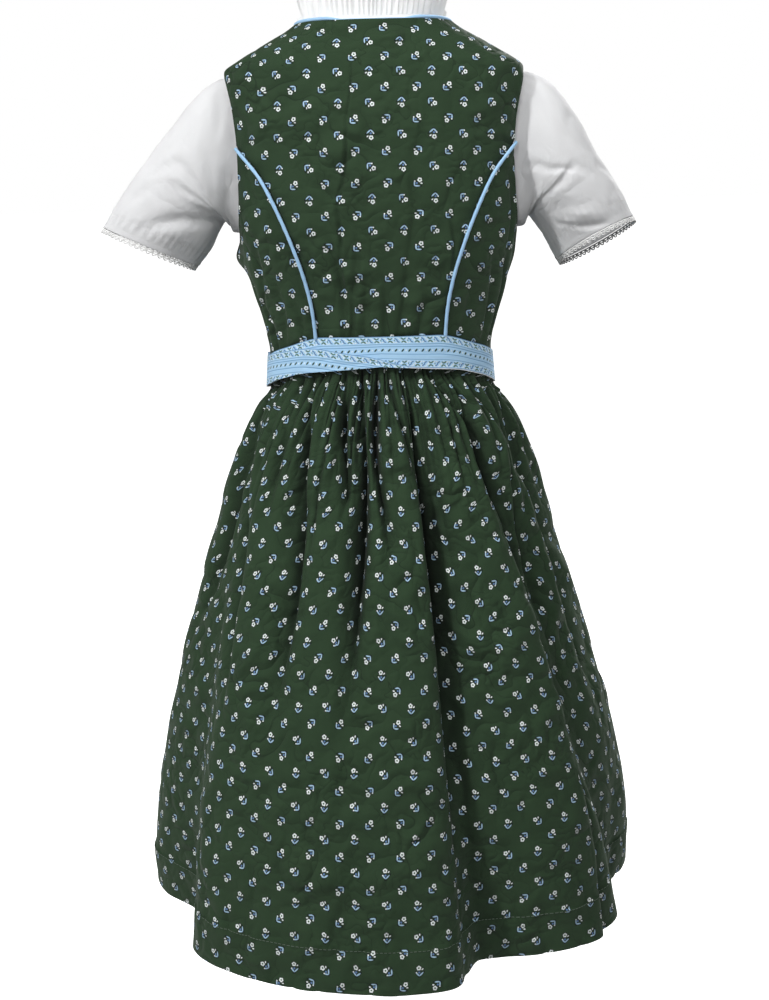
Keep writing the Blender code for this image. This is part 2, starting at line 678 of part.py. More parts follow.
def buttons(material):
    for number, height in enumerate(BUTTON_HEIGHTS, start=1):
        seat = torso_point(180.0, height, BUTTON_SEAT)
        above = torso_point(180.0, height + BUTTON_RADIUS)
        below = torso_point(180.0, height - BUTTON_RADIUS)
        slope = Vector(above - below).normalized()
        outward = Vector((1, 0, 0)).cross(slope).normalized()
        if outward.y > 0:
            outward = -outward
        mesh = bpy.data.meshes.new(f"button_{number}")
        disc = bmesh.new()
        bmesh.ops.create_cone(disc, cap_ends=True, segments=12, radius1=BUTTON_RADIUS,
                              radius2=BUTTON_TOP_RADIUS, depth=BUTTON_THICKNESS)
        bmesh.ops.translate(disc, verts=disc.verts, vec=(0, 0, BUTTON_THICKNESS / 2))
        disc.to_mesh(mesh)
        disc.free()
        button = add_object(f"button_{number}", mesh, material)
        button.rotation_mode = "QUATERNION"
        button.rotation_quaternion = outward.to_track_quat("Z", "Y")
        button.location = Vector(seat)


# ---------------------------------------------------------------- skirt
def skirt_panel(name, start, end, gathers, drops, material):
    half = math.degrees(SEAM_GAP / 2 / SKIRT[0].half_width)
    columns = gathers * POINTS_PER_GATHER
    angles = steps(start + half, end - half, columns)
    places = np.stack(np.meshgrid(angles, drops), -1)
    gathers_round = gathers * 360 / (end - start)

    def surface(angle, drop):
        return skirt_point(angle, drop, gathers_round)
    return panel_wall(name, surface, places, SKIRT_CLOTH, material)


def apron_stand(drop):
    return APRON_STANDOFF + APRON_HEM_EXTRA * drop


def apron_panel(material):
    """Hangs over the skirt's front, on the same columns, moved out."""
    column = 180 / (FRONT_GATHERS * POINTS_PER_GATHER)
    count = round(APRON_HALF_ANGLE / column)
    angles = 180 + np.arange(-count, count + 1)[None, :] * column
    waist, hem = waist_height(angles), hem_height(angles)
    first = (waist - band_bottom(angles)) / (waist - hem) + 0.0006
    shares = np.array(APRON_ROWS)[:, None]
    drops = first + (APRON_LENGTH_SHARE - first) * shares
    stand = apron_stand(drops)
    grid = skirt_point(angles, drops, FRONT_GATHERS * 2, stand)
    return cloth_wall("apron_panel", grid, APRON_CLOTH, material)


# ---------------------------------------------------------------- band and ties
def band_point(angle, share, layer=0.0):
    """On the band round the waist: share 0 is its top edge, 1 its bottom edge."""
    height = band_top(angle) + (band_bottom(angle) - band_top(angle)) * share
    at_top = torso_radius(angle, band_top(angle)) + BAND_LIFT
    at_waist = torso_radius(angle, waist_height(angle)) + BAND_LIFT + BAND_FLARE
    return from_polar(angle, at_top + (at_waist - at_top) * share + layer, height)


def band_angles(first, last):
    """The ends and every whole step between them, the same places on every band."""
    low, high = sorted((first, last))
    inside = np.arange(math.floor(low / BAND_STEP) + 1, math.ceil(high / BAND_STEP)) * BAND_STEP
    return np.array([low, *inside, high])


def band_wall(name, angles, top_shares, layers, material):
    shares = np.stack([top_shares, np.ones(len(angles))])
    angles, layers = np.broadcast_arrays(angles, shares * 0 + layers)
    return cloth_wall(name, band_point(angles, shares, layers), APRON_CLOTH, material)


def apron_waistband(material):
    angles = band_angles(180 - APRON_HALF_ANGLE, 180 + APRON_HALF_ANGLE)
    return band_wall("apron_waistband", angles, np.full(len(angles), 0.06), 0.0, material)


def tie_from_left(material):
    """Leaves the waistband at the left, crosses the back and comes round the right side."""
    angles = band_angles(180 - APRON_HALF_ANGLE - 0.3, BOW_ANGLE - 360 + 0.3)
    layers = smooth_through((-220, -118, -96, 180), (TIE_LAYER, TIE_LAYER, 0, 0))(angles)
    return band_wall("tie_from_left", angles, np.zeros(len(angles)), layers, material)


def tie_from_right(material):
    """Comes out from under the other tie at the back and runs over it round the left."""
    angles = band_angles(TIE_CROSSING_ANGLE, BOW_ANGLE - 0.3)
    top = smooth_through((-22, -8, 10, 22, 41, 66, 88, 180),
                         (0.95, 0.85, 0.63, 0.53, 0.34, 0.12, 0.0, 0.0))(angles)
    return band_wall("tie_from_right", angles, top, TIE_LAYER, material)


KNOT = Vector((0.026, 0.038, 0.013))          # along the ties, up, outward
KNOT_BEVEL = 0.005
LOOP_LENGTH = 0.078
LOOP_COLUMNS = 20
LOOP_PINCH = 0.0058          # half the loop's thickness where it enters the knot
LOOP_SWELL = 0.0110          # and at its far end
LOOP_WIDTH = 0.034
LOOP_RISE = 0.006            # the far end stands up and curls in by this much
TAIL_ROWS = 10
TAIL_COLUMNS = 5
TAIL_END_DROP = 0.50
TAIL_RIPPLE = 0.0014
tail_width = smooth_through((0.02, 0.15, 1), (0.011, 0.040, 0.040))        # by drop
tail_spread = smooth_through((0.02, 0.15, 0.30, 0.50), (4.2, 9.8, 8.2, 7.6))
tail_clearance = smooth_through((0.02, 0.06, 0.20, 1), (0.0006, 0.0010, 0.0024, 0.0024))


def bow_frame():
    """Origin on the ties' outer face, with the directions along them, up and outward."""
    def on_tie(turn, share):
        return Vector(band_point(BOW_ANGLE + turn, share, TIE_LAYER + 2 * SEAM_GAP))
    origin = on_tie(0, 0.5)
    along = on_tie(BAND_STEP, 0.5) - on_tie(-BAND_STEP, 0.5)
    along.z = 0
    along.normalize()
    outward = along.cross(on_tie(0, 0) - on_tie(0, 1)).normalized()
    if outward.dot(origin) < 0:
        outward = -outward
    up = outward.cross(along)
    if up.z < 0:
        up = -up
    return origin, along, up, outward


def bow_knot(material):
    origin, along, up, outward = bow_frame()
    mesh = bpy.data.meshes.new("bow_knot")
    block = bmesh.new()
    bmesh.ops.create_cube(block, size=1.0)
    bmesh.ops.scale(block, verts=block.verts, vec=KNOT)
    bmesh.ops.bevel(block, geom=list(block.edges), offset=KNOT_BEVEL, segments=2, profile=0.5,
                    affect="EDGES")
    turn = Matrix((along, up, outward)).transposed().to_4x4()
    bmesh.ops.transform(block, verts=block.verts, matrix=turn)
    bmesh.ops.translate(block, verts=block.verts, vec=origin + outward * KNOT.z / 2)
    bmesh.ops.recalc_face_normals(block, faces=block.faces)
    block.to_mesh(mesh)
    block.free()
    return add_object("bow_knot", mesh, material)


def bow_loop(side, material):
    """One loop of the bow: a band that goes out along the waist and comes back."""
    origin, along, up, outward = (np.array(v) for v in bow_frame())
    turn = np.arange(LOOP_COLUMNS) * 2 * math.pi / LOOP_COLUMNS
    reach = (1 - np.cos(turn)) / 2
    swell = LOOP_PINCH + (LOOP_SWELL - LOOP_PINCH) * reach
    out = KNOT.z / 2 + 0.004 * reach + swell * np.sin(turn) - LOOP_RISE * reach ** 2
    distance = KNOT.x / 2 + 2 * SEAM_GAP + LOOP_LENGTH * reach
    width = LOOP_WIDTH * (0.62 + 0.38 * np.sqrt(reach))
    level = np.array([[-0.5], [0.5]]) * width[None, :] + LOOP_RISE * reach
    grid = (origin + side * distance[None, :, None] * along + level[..., None] * up
            + out[None, :, None] * outward)
    middle = origin + side * (distance.mean()) * along + out.mean() * outward
    centre = np.broadcast_to(middle, grid.shape).copy()
    centre[..., 2] = grid[..., 2]
    name = "bow_loop_left" if side < 0 else "bow_loop_right"
    return cloth_wall(name, grid, APRON_CLOTH, material, closed=True, centre=centre)


def bow_tail(side, material):
    """A free end that hangs from the knot over the apron."""
    waist, hem = waist_height(BOW_ANGLE), hem_height(BOW_ANGLE)
    start = float((waist - band_bottom(BOW_ANGLE)) / (waist - hem))
    drops = start + (TAIL_END_DROP - start) * np.linspace(0, 1, TAIL_ROWS) ** 1.3
    half_angle = np.degrees(tail_width(drops) / 2 / skirt_radius(BOW_ANGLE, drops, 1.0))
    across = np.linspace(-1, 1, TAIL_COLUMNS)[None, :]
    angles = BOW_ANGLE + side * tail_spread(drops)[:, None] + across * half_angle[:, None]
    drops = np.broadcast_to(drops[:, None], angles.shape)
    ripple = TAIL_RIPPLE * np.cos(across * math.pi * 1.5 + side) * drops / TAIL_END_DROP
    out = apron_stand(drops) + APRON_CLOTH + tail_clearance(drops) + ripple
    grid = from_polar(angles, skirt_radius(angles, drops, 1.0) + out, skirt_height(angles, drops))
    grid[0, :, 2] = band_bottom(angles[0]) - SEAM_GAP
    name = "bow_tail_left" if side < 0 else "bow_tail_right"
    return cloth_wall(name, grid, APRON_CLOTH, material)


# ---------------------------------------------------------------- blouse
BLOUSE_HEM = -0.262
BLOUSE_INSET = 0.0085        # about how far inside the bodice's outer face the blouse lies


def blouse_edge(side):
    """(angle, height) up the blouse's side seam, its armhole and its shoulder."""
    armpit = BLOUSE_ARMHOLE.centre_z - BLOUSE_ARMHOLE.half_height
    heights = steps(BLOUSE_HEM, armpit, 2)
    seam = np.stack([np.full(len(heights), 90.0), heights], -1)
    upper = upper_edge(BLOUSE_ARMHOLE, side, armpit, float(blouse_neck(90)), BLOUSE_INSET)
    return np.concatenate([seam, upper])


def blouse_back(material):
    right = pull_in(blouse_edge(1), SEAM_GAP / 2)
    left = right * np.array([-1, 1])
    columns = round(180 / RING_STEP)
    top_angles = steps(left[-1, 0], right[-1, 0], columns)
    bottom_angles = steps(left[0, 0], right[0, 0], columns)
    top = np.stack([top_angles, blouse_neck(top_angles)], -1)
    bottom = np.stack([bottom_angles, np.full(columns + 1, BLOUSE_HEM)], -1)
    places = patch(bottom, top, left, right)
    return panel_wall("blouse_back", blouse_point, places, BLOUSE_CLOTH, material)


def blouse_front(material):
    start = pull_in(blouse_edge(-1), -SEAM_GAP / 2)
    end = start * np.array([-1, 1]) + np.array([360, 0])
    columns = round(180 / RING_STEP)
    half = np.array(NECK_FRONT[1:], float)
    top_angles = np.array([start[-1, 0], *half, *(360 - half[-2::-1]), end[-1, 0]])
    bottom_angles = steps(start[0, 0], end[0, 0], columns)
    top = np.stack([top_angles, blouse_neck(top_angles)], -1)
    bottom = np.stack([bottom_angles, np.full(columns + 1, BLOUSE_HEM)], -1)
    places = patch(bottom, top, start, end)
    return panel_wall("blouse_front", blouse_point, places, BLOUSE_CLOTH, material)


def sleeve_rings(side, columns, along):
    """Rings of a sleeve, from the armhole seam (along 0) to the cuff (along 1)."""
    table = SLEEVES[side_name(side)]
    turn = np.arange(columns) * 2 * math.pi / columns
    rings = []
    for share in along:
        across = float(smooth_curve(table, "along", "across")(share))
        height = float(smooth_curve(table, "along", "height")(share))
        half_across = float(smooth_curve(table, "along", "half_across")(share))
        half_depth = float(smooth_curve(table, "along", "half_depth")(share))
        tilt = math.radians(float(smooth_curve(table, "along", "tilt")(share)))
        dip = math.radians(SLEEVE_FRONT_DIP[side_name(side)] * share)
        up = np.array([math.sin(tilt), 0, math.cos(tilt)])
        deep = np.array([0, math.cos(dip), math.sin(dip)])
        centre = np.array([across, BLOUSE_ARMHOLE.centre_y - 0.004 * share, height])
        ring = (centre + half_across * np.cos(turn)[:, None] * up
                + half_depth * np.sin(turn)[:, None] * deep)
        blend = min(1.0, share / 0.30)
        blend = blend * blend * (3 - 2 * blend)
        rings.append((1 - blend) * armhole_ring(turn, share) + blend * ring)
    rings = np.array(rings)
    rings[..., 0] *= side
    return rings


def armhole_ring(turn, share):
    """The blouse's armhole edge, moved straight out as the sleeve leaves it."""
    heights = BLOUSE_ARMHOLE.centre_z + BLOUSE_ARMHOLE.half_height * np.cos(turn)
    points = []
    for height, way in zip(heights, np.sin(turn)):
        side = 1 if way >= 0 else -1
        angle = armhole_angle(BLOUSE_ARMHOLE, np.array([height]), side, BLOUSE_INSET)
        points.append(blouse_point(angle, np.array([height]))[0])
    ring = np.array(points)
    ring[:, 0] += 0.0006 + 0.10 * share
    return ring


def sleeve(side, material):
    along = (0.0, 0.07, 0.16, 0.30, 0.47, 0.64, 0.82, 1.0)
    grid = sleeve_rings(side, SLEEVE_COLUMNS, along)
    centre = np.broadcast_to(grid.mean(axis=1, keepdims=True), grid.shape)
    return cloth_wall(f"sleeve_{side_name(side)}", grid, BLOUSE_CLOTH, material, True, centre)


def sleeve_lace(side, material):
    """A narrow scalloped edging below the cuff."""
    columns = LACE_SCALLOPS * 2
    cuff = sleeve_rings(side, columns, (0.98, 1.0))
    ahead = cuff[1].mean(axis=0) - cuff[0].mean(axis=0)
    ahead /= np.linalg.norm(ahead)
    point = np.where(np.arange(columns) % 2 == 0, 0.0, LACE_SCALLOP)
    first = cuff[1] + ahead * 2 * SEAM_GAP
    last = first + ahead * (LACE_DEPTH + point)[:, None]
    middle = cuff[1].mean(axis=0)
    inward = middle - cuff[1]
    inward /= np.linalg.norm(inward, axis=1, keepdims=True)
    grid = np.stack([first, last]) + inward * (BLOUSE_CLOTH - LACE_CLOTH) / 2
    centre = np.broadcast_to(grid.mean(axis=1, keepdims=True), grid.shape)
    return cloth_wall(f"sleeve_lace_{side_name(side)}", grid, LACE_CLOTH, material, True, centre)


def collar_ruffle(material):
    """A pleated ruffle that stands up round the blouse's neck."""
    columns = RUFFLE_WAVES * 4
    angles = np.arange(columns) * 360 / columns
    wave = np.cos(np.radians(angles) * RUFFLE_WAVES)
    ring = neck_ring()
    edge = blouse_point(ring, blouse_neck(ring))
    base = np.stack([np.interp(angles, ring, edge[:, axis], period=360) for axis in range(3)], -1)
    base[:, 2] += RUFFLE_GAP
    turn = np.radians(angles)
    front = (1 - np.cos(turn)) / 2
    outward = np.stack([np.sin(turn), np.cos(turn), np.zeros(columns)], -1)
    lean = 0.004 + 0.006 * front
    height = RUFFLE_HEIGHT * (1 - RUFFLE_FRONT_DROP * front)
    rows = []
    for share, size in ((0.0, RUFFLE_BASE_WAVE), (1.0, RUFFLE_TOP_WAVE)):
        row = base + outward * (lean * share + size * wave)[:, None]
        row[:, 2] = base[:, 2] + height * share
        rows.append(row)
    return cloth_wall("collar_ruffle", np.array(rows), LACE_CLOTH, material, closed=True)


# ---------------------------------------------------------------- the whole garment
def build():
    for old in list(bpy.data.objects):
        bpy.data.objects.remove(old, do_unlink=True)
    green = new_material("green_cotton", (0.030, 0.055, 0.028), 0.85)
    blue = new_material("blue_apron_cotton", (0.36, 0.58, 0.82), 0.80)
    white = new_material("white_blouse_cotton", (0.86, 0.86, 0.87), 0.80)
    lace = new_material("white_lace", (0.84, 0.84, 0.82), 0.85)
    cord_blue = new_material("blue_piping", (0.33, 0.56, 0.80), 0.70)
    metal = new_material("pewter", (0.45, 0.45, 0.44), 0.38, 0.9)

    bodice_back(green)
    for side in (1, -1):
        bodice_side_back(side, green)
        bodice_front(side, green)
        back_piping(side, cord_blue)
    neck_piping(cord_blue)
    buttons(metal)
    skirt_panel("skirt_back", -90, 90, BACK_GATHERS, SKIRT_DROPS, green)
    skirt_panel("skirt_front", 90, 270, FRONT_GATHERS, FRONT_DROPS, green)
    apron_panel(blue)
    apron_waistband(blue)
    tie_from_left(blue)
    tie_from_right(blue)
    bow_knot(blue)
    for side in (1, -1):
        bow_loop(side, blue)
        bow_tail(side, blue)
    blouse_back(white)
    blouse_front(white)
    for side in (1, -1):
        sleeve(side, white)
        sleeve_lace(side, lace)
    collar_ruffle(lace)


build()
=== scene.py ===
"""The looks of a dirndl dress: printed bodice and gathered skirt, blouse and tied apron.

Metres, +Z up, in the frame of the solids: the origin is the middle of the shoulder line,
the front looks along -Y and the wearer's left is +X. An angle runs round the garment,
0 degrees at the centre back, +90 at the wearer's left side, 180 at the front.

Each piece of cloth is a thin shell on the form of its solid. The rings are the solid's
own, but three of the skirt's folds hang a few degrees aside at the hem; gathers, creases,
stitches and lace are added to them here.
"""
import math
from collections import namedtuple

import bpy
import numpy as np
from mathutils import Matrix, Vector, noise


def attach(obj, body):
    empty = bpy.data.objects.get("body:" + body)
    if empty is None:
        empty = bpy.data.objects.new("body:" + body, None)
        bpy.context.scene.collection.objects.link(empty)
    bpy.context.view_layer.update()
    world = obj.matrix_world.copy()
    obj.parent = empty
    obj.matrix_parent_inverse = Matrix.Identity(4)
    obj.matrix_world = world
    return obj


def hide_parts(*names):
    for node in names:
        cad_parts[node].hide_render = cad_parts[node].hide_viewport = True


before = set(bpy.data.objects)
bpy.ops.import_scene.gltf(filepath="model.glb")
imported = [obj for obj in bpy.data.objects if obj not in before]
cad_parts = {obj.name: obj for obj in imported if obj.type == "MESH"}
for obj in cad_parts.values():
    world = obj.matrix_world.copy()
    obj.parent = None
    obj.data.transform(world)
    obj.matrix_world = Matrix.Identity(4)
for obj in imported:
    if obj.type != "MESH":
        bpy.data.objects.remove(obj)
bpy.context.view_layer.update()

# ---- sizes
SEAM_GAP = 0.0003            # between two pieces that are sewn together
WAIST_GAP = 0.0007
BODICE_CLOTH = 0.0016        # room that the bodice takes; the shell itself is thinner
SHELL = 0.0008               # thickness of a shell
ROUNDNESS = 2.3              # 2 is an ellipse, more is squarer
NECK_HEIGHT = 0.034
PRINCESS_TOP = -0.108        # where the princess seam runs into the armhole
SEAM_WAIST_ANGLE = 33.2      # and where it reaches the waist

BACK_GATHERS = 20
FRONT_GATHERS = 14
HEM_DEPTH = 0.050            # the skirt's hem is turned up by this much
BAND_LIFT = 0.0024           # of the band's top edge off the waist
BAND_FLARE = 0.0026          # its bottom edge lies this much further out
TIE_LAYER = 0.0019           # one tie over another
TIE_CROSSING_ANGLE = -20.0
BOW_ANGLE = 150.0            # the bow is tied at the wearer's front left
KNOT_LENGTH, KNOT_HEIGHT, KNOT_DEPTH = 0.026, 0.038, 0.013
LOOP_REACH, LOOP_WIDTH, LOOP_CLOTH = 0.078, 0.034, 0.165
TIE_WIDTH = 0.040
TAIL_END = 0.50              # the bow's tails end at this drop
APRON_STANDOFF = 0.0036      # apron's outer face above the skirt's
APRON_HEM_EXTRA = 0.003
APRON_HALF_ANGLE = 58.0      # either side of the centre front
APRON_LENGTH_SHARE = 0.955   # of the skirt's length

BUTTON_RADIUS = 0.0065
BUTTON_HEIGHTS = (-0.108, -0.158, -0.208, -0.258, -0.308)
BUTTON_PROFILE = (           # (height above its seat, radius) as shares of the radius
    (0.00, 0.86), (0.10, 0.97), (0.20, 1.00), (0.27, 0.97), (0.29, 0.90), (0.25, 0.84),
    (0.25, 0.78), (0.31, 0.70), (0.37, 0.55), (0.41, 0.36), (0.425, 0.16), (0.43, 0.03))
PIPING_RADIUS = 0.0021
BLOUSE_HEM = -0.262
BLOUSE_INSET = 0.0085        # about how far inside the bodice's outer face the blouse lies
SLEEVE_FRONT_DIP = {"left": 2.0, "right": 13.0}   # degrees, cuff's front edge hangs lower
SLEEVE_COLUMNS = 150
CUFF_SEAM = 0.905            # where on the sleeve the cuff's hem is sewn
CUFF_STITCHES = 150
LACE_SCALLOPS = 51
RUFFLE_HEIGHT = 0.034        # at the back; lower at the front
RUFFLE_FRONT_DROP = 0.22     # share of that height lost at the front
RUFFLE_PLEATS = 64

# What turns a crease's two coordinates into metres, round the piece and down it, and how
# strong the creases of a table are.
SKIRT_SCALE = (0.0037, 0.69, 1.0)
BODICE_SCALE = (0.0025, 1.0, 1.7)
SLEEVE_SCALE = (0.00105, 0.16, 0.9)
TIE_SCALE = (0.0020, 0.036, 1.0)
SHARP_FOLD_STRENGTH = 1.35
# The size and the height of the fine crumples in the cloth.
SKIRT_CRUMPLE = (0.042, 0.0034)
BODICE_CRUMPLE = (0.030, 0.0015)
SLEEVE_CRUMPLE = (0.030, 0.0008)
BLOUSE_CRUMPLE = (0.040, 0.0005)


# ---- section tables
def table(columns, *rows):
    """Rows with named columns."""
    named = namedtuple("Row", columns)
    return [named(*row) for row in rows]


Armhole = namedtuple("Armhole", "centre_y centre_z half_depth half_height")
DRESS_ARMHOLE = Armhole(-0.0075, -0.1150, 0.0475, 0.0970)
BLOUSE_ARMHOLE = Armhole(-0.0075, -0.1150, 0.0420, 0.0920)

TORSO = table(
    "height half_width back_depth front_depth",
    (-.4, .1335, .0825, .0885), (-.35, .1335, .083, .089), (-.315, .14, .085, .093),
    (-.267, .153, .09, .104), (-.219, .165, .096, .118), (-.171, .1705, .098, .12),
    (-.113, .173, .095, .108), (-.06, .177, .089, .092), (-.03, .1785, .083, .083),
    (-.018, .1755, .08, .079), (-.008, .1615, .0765, .075), (.01, .1315, .069, .068),
    (NECK_HEIGHT, .0915, .058, .058), (.045, .084, .054, .054), (.07, .08, .052, .052),
)
SKIRT = table(               # drop: 0 at the waist seam, 1 at the hem
    "drop half_width back_depth front_depth",
    (0, .1347, .0837, .0897), (.03, .1357, .0847, .0907), (.058, .148, .098, .101),
    (.098, .164, .117, .115), (.137, .176, .13, .126), (.215, .195, .151, .145),
    (.294, .2105, .171, .162), (.414, .234, .201, .186), (.577, .2625, .235, .213),
    (.741, .2875, .265, .235), (.909, .302, .289, .25), (1, .3025, .3, .255),
)
PRINCESS_SEAM = table(
    "height across",
    (-.352, .073), (-.324, .0744), (-.297, .077), (-.265, .0835), (-.224, .0965), (-.183, .113),
    (-.143, .133), (PRINCESS_TOP, .161),
)
SLEEVE_RING = "along across height half_across half_depth tilt"
SLEEVES = {                  # tilt: how far the ring has turned from upright
    "left": table(
        SLEEVE_RING,
        (0, .17, -.1145, .092, .042, 3), (.14, .186, -.12, .086, .047, 10),
        (.35, .2085, -.139, .069, .054, 28), (.6, .231, -.158, .059, .0575, 54),
        (.85, .257, -.196, .0625, .057, 66), (1, .274, -.22, .061, .051, 66)),
    "right": table(
        SLEEVE_RING,
        (0, .17, -.1145, .092, .042, 3), (.14, .188, -.118, .087, .048, 9),
        (.35, .208, -.138, .069, .054, 26), (.6, .222, -.157, .054, .056, 50),
        (.85, .247, -.195, .052, .055, 61), (1, .262, -.223, .052, .049, 63)),
}
# A fold is a trough that runs down the skirt. Its centre line and its depth are given at
# four drops; it falls steeply on its steep side and rises softly on the other.
FOLD = "drops angles depths steep_width soft_width steep_side"
FOLDS = table(
    FOLD,
    ((.1, .4, .7, 1), (73, 66, 62, 62.5), (.006, .018, .03, .05), 9, 13, -1),  # left lobe edge
    ((.06, .3, .55, .8), (43, 34, 32, 33), (.005, .011, .007, 0), 4, 7, -1),  # left groove
    ((.04, .12, .2, .27), (27, 23, 19, 17), (0, .006, .007, 0), 4, 5, 1),  # left short groove
    ((.04, .25, .5, .75), (16, 9, 11, 13), (.005, .012, .007, 0), 4, 6, -1),  # centre groove
    ((.04, .15, .25, .36), (2, 4, 1, -2), (0, .007, .006, 0), 4, 5, 1),  # centre short groove
    ((.06, .3, .65, 1), (-22, -23, -21.5, -24), (.006, .017, .032, .06), 7, 18, 1),  # right of centre edge
    ((.1, .4, .7, 1), (-44, -58, -62, -70), (.005, .028, .031, .034), 6, 12, 1),  # right lobe edge
    ((.06, .14, .24, .36), (-76, -72, -68, -64), (0, .006, .006, 0), 4, 6, 1),  # right short groove
    ((.06, .35, .7, 1), (112, 114, 112, 114), (.004, .014, .026, .04), 8, 13, 1),  # front left side
    ((.06, .35, .7, 1), (138, 142, 144, 143), (.004, .012, .02, .032), 8, 14, -1),  # front left
    ((.06, .35, .7, 1), (172, 176, 174, 177), (.003, .01, .018, .03), 9, 14, 1),  # front centre
    ((.06, .35, .7, 1), (-150, -146, -148, -147), (.004, .013, .022, .034), 8, 13, 1),  # front right
    ((.06, .35, .7, 1), (-118, -116, -119, -117), (.004, .014, .024, .038), 8, 13, -1),  # front right side
)
# Sharper creases at the bottom of those folds and between them, from the wearer's left to the
# right; the last six are on the front.
SHARP_FOLDS = table(
    FOLD,
    ((.05, .18, .32, .5), (70, 74, 76, 78), (0, .01, .014, 0), 2, 4, 1),
    ((.07, .2, .33, .62), (66, 64, 56, 48), (0, .012, .016, 0), 1.8, 5, -1),
    ((.02, .2, .4, .62), (48, 36.5, 32, 34), (.005, .01, .009, 0), 1.2, 3.5, -1),
    ((.02, .1, .18, .3), (56, 52, 49, 47), (.004, .008, .006, 0), 1.3, 3.5, 1),
    ((.02, .1, .2, .26), (28, 24, 19, 16.5), (.004, .01, .012, 0), 1.1, 3, 1),
    ((.02, .14, .26, .6), (17, 10, 9, 12.5), (.005, .011, .015, 0), 1, 3, -1),
    ((.02, .12, .22, .34), (3, 5.5, 2, -3), (.004, .009, .01, 0), 1.1, 3, 1),
    ((.02, .15, .35, .8), (-20, -17.5, -17.5, -16.5), (.005, .013, .026, .008), 1.2, 5.5, 1),
    ((.04, .1, .15, .21), (-5, -9, -13, -16), (.004, .008, .009, 0), 1.2, 2.5, 1),
    ((.03, .12, .34, .8), (-35, -46, -51, -54), (.004, .01, .02, .008), 1.3, 5, 1),
    ((.03, .14, .3, .62), (-56, -62, -61, -62), (.004, .008, .01, 0), 1.6, 4, 1),
    ((.05, .18, .36, .66), (-68, -73, -76, -76), (.006, .02, .024, .004), 4, 9, 1),
    ((.03, .14, .3, .55), (104, 106, 108, 109), (.003, .006, .007, 0), 1.8, 4, 1),
    ((.03, .14, .3, .55), (-106, -108, -107, -110), (.003, .006, .007, 0), 1.8, 4, -1),
    ((.03, .12, .24, .45), (126, 128, 130, 130), (.001, .003, .003, 0), 2, 4, -1),
    ((.03, .12, .24, .45), (-132, -134, -133, -135), (.001, .003, .003, 0), 2, 4, 1),
    ((.03, .12, .24, .45), (160, 159, 161, 162), (.001, .003, .003, 0), 2, 4, 1),
    ((.03, .12, .24, .45), (-164, -163, -165, -166), (.001, .003, .003, 0), 2, 4, -1),
)

# A crease is a soft straight trough, or a ridge where its depth is negative. Its ends are
# places on the piece: angle and drop on the skirt, angle and height on the bodice, angle and
# share of the height on the ties, and on a sleeve the turn from its top edge (90 at the back)
# and the share along it.
CREASE = "turn_from level_from turn_to level_to width depth"
SKIRT_CREASES = table(
    CREASE,
    (-87.5, .04, -85, .046, .005, -.012), (22, .235, 10, .215, .006, .004),
    (24, .25, 14, .245, .007, -.002), (39, .723, 24, .64, .016, .0022), (30, .56, 20, .5, .014, .0018),
    (15, .79, -2, .74, .016, .0024), (12, .7, -8, .66, .02, -.002), (21, .45, 18, .86, .012, .003),
    (4, .42, 2, .9, .03, .004), (-7, .5, -10, .98, .022, -.003), (-33, .36, -44, .43, .012, .002),
    (-34, .6, -48, .56, .014, .0022), (-36, .78, -26, .83, .012, .0018),
    (-42, .88, -52, .82, .016, .0022), (46, .9, 36, .84, .016, .0024), (44, .33, 36, .4, .01, .0018),
    (58, .62, 50, .52, .014, .0022), (62, .86, 52, .93, .016, .0022), (30, .96, 24, .9, .018, .002),
    (-70, .7, -60, .78, .014, .0022), (-74, .45, -66, .52, .012, .0018),
    (100, .52, 108, .43, .014, .002), (-98, .56, -108, .64, .014, .002),
    (102, .82, 112, .88, .016, .002), (-102, .36, -112, .3, .012, .0018),
    (150, .62, 164, .56, .018, .0012), (-156, .48, -142, .42, .016, .0012),
    (176, .82, 168, .88, .018, .0012),
)
BODICE_CREASES = table(
    CREASE,
    (18.5, -.01, 20.5, -.08, .0022, .0012), (20.5, -.08, 26, -.178, .003, .002),
    (26, -.178, 26.5, -.24, .004, .0022), (32, -.215, 27, -.328, .0075, .0036),
    (15, -.215, 21, -.29, .008, .0026), (21, -.29, 23, -.33, .006, .003),
    (10, -.26, 14, -.33, .008, .0018), (-43, -.19, -46.5, -.25, .0026, .0018),
    (-24, -.15, -20, -.245, .009, .002), (-20, -.245, -14, -.33, .009, .0022),
    (-34, -.27, -28, -.33, .007, .0016), (-4, -.27, -3, -.33, .008, .0014),
    (52, -.06, 38, -.085, .006, .0014), (46, -.125, 30, -.12, .0045, .0014),
    (40, -.15, 30, -.165, .0045, .0012), (-36, -.075, -22, -.13, .008, .0014),
    (-62, -.06, -50, -.15, .009, .0016), (58, -.205, 48, -.235, .006, .0018),
    (70, -.22, 76, -.29, .005, .0032), (76, -.29, 73, -.345, .005, .0034),
    (64, -.255, 66, -.335, .0055, .0026), (57, -.28, 53, -.325, .005, .002),
    (84, -.255, 82, -.345, .0055, .0026), (-73, -.14, -75, -.23, .0045, .003),
    (-75, -.23, -78, -.34, .0045, .004), (-66, -.235, -71, -.335, .005, .003),
    (-83, -.21, -85, -.33, .005, .0034), (-58, -.27, -54, -.33, .006, .0018),
    (104, -.235, 114, -.33, .007, .0024), (-104, -.235, -116, -.33, .007, .0024),
    (122, -.19, 112, -.235, .008, .0018), (-124, -.185, -112, -.235, .008, .0018),
    (150, -.28, 146, -.35, .007, .0018), (-150, -.275, -147, -.35, .007, .0018),
    (118, -.08, 108, -.13, .007, .0014), (-119, -.075, -108, -.125, .007, .0014),
)
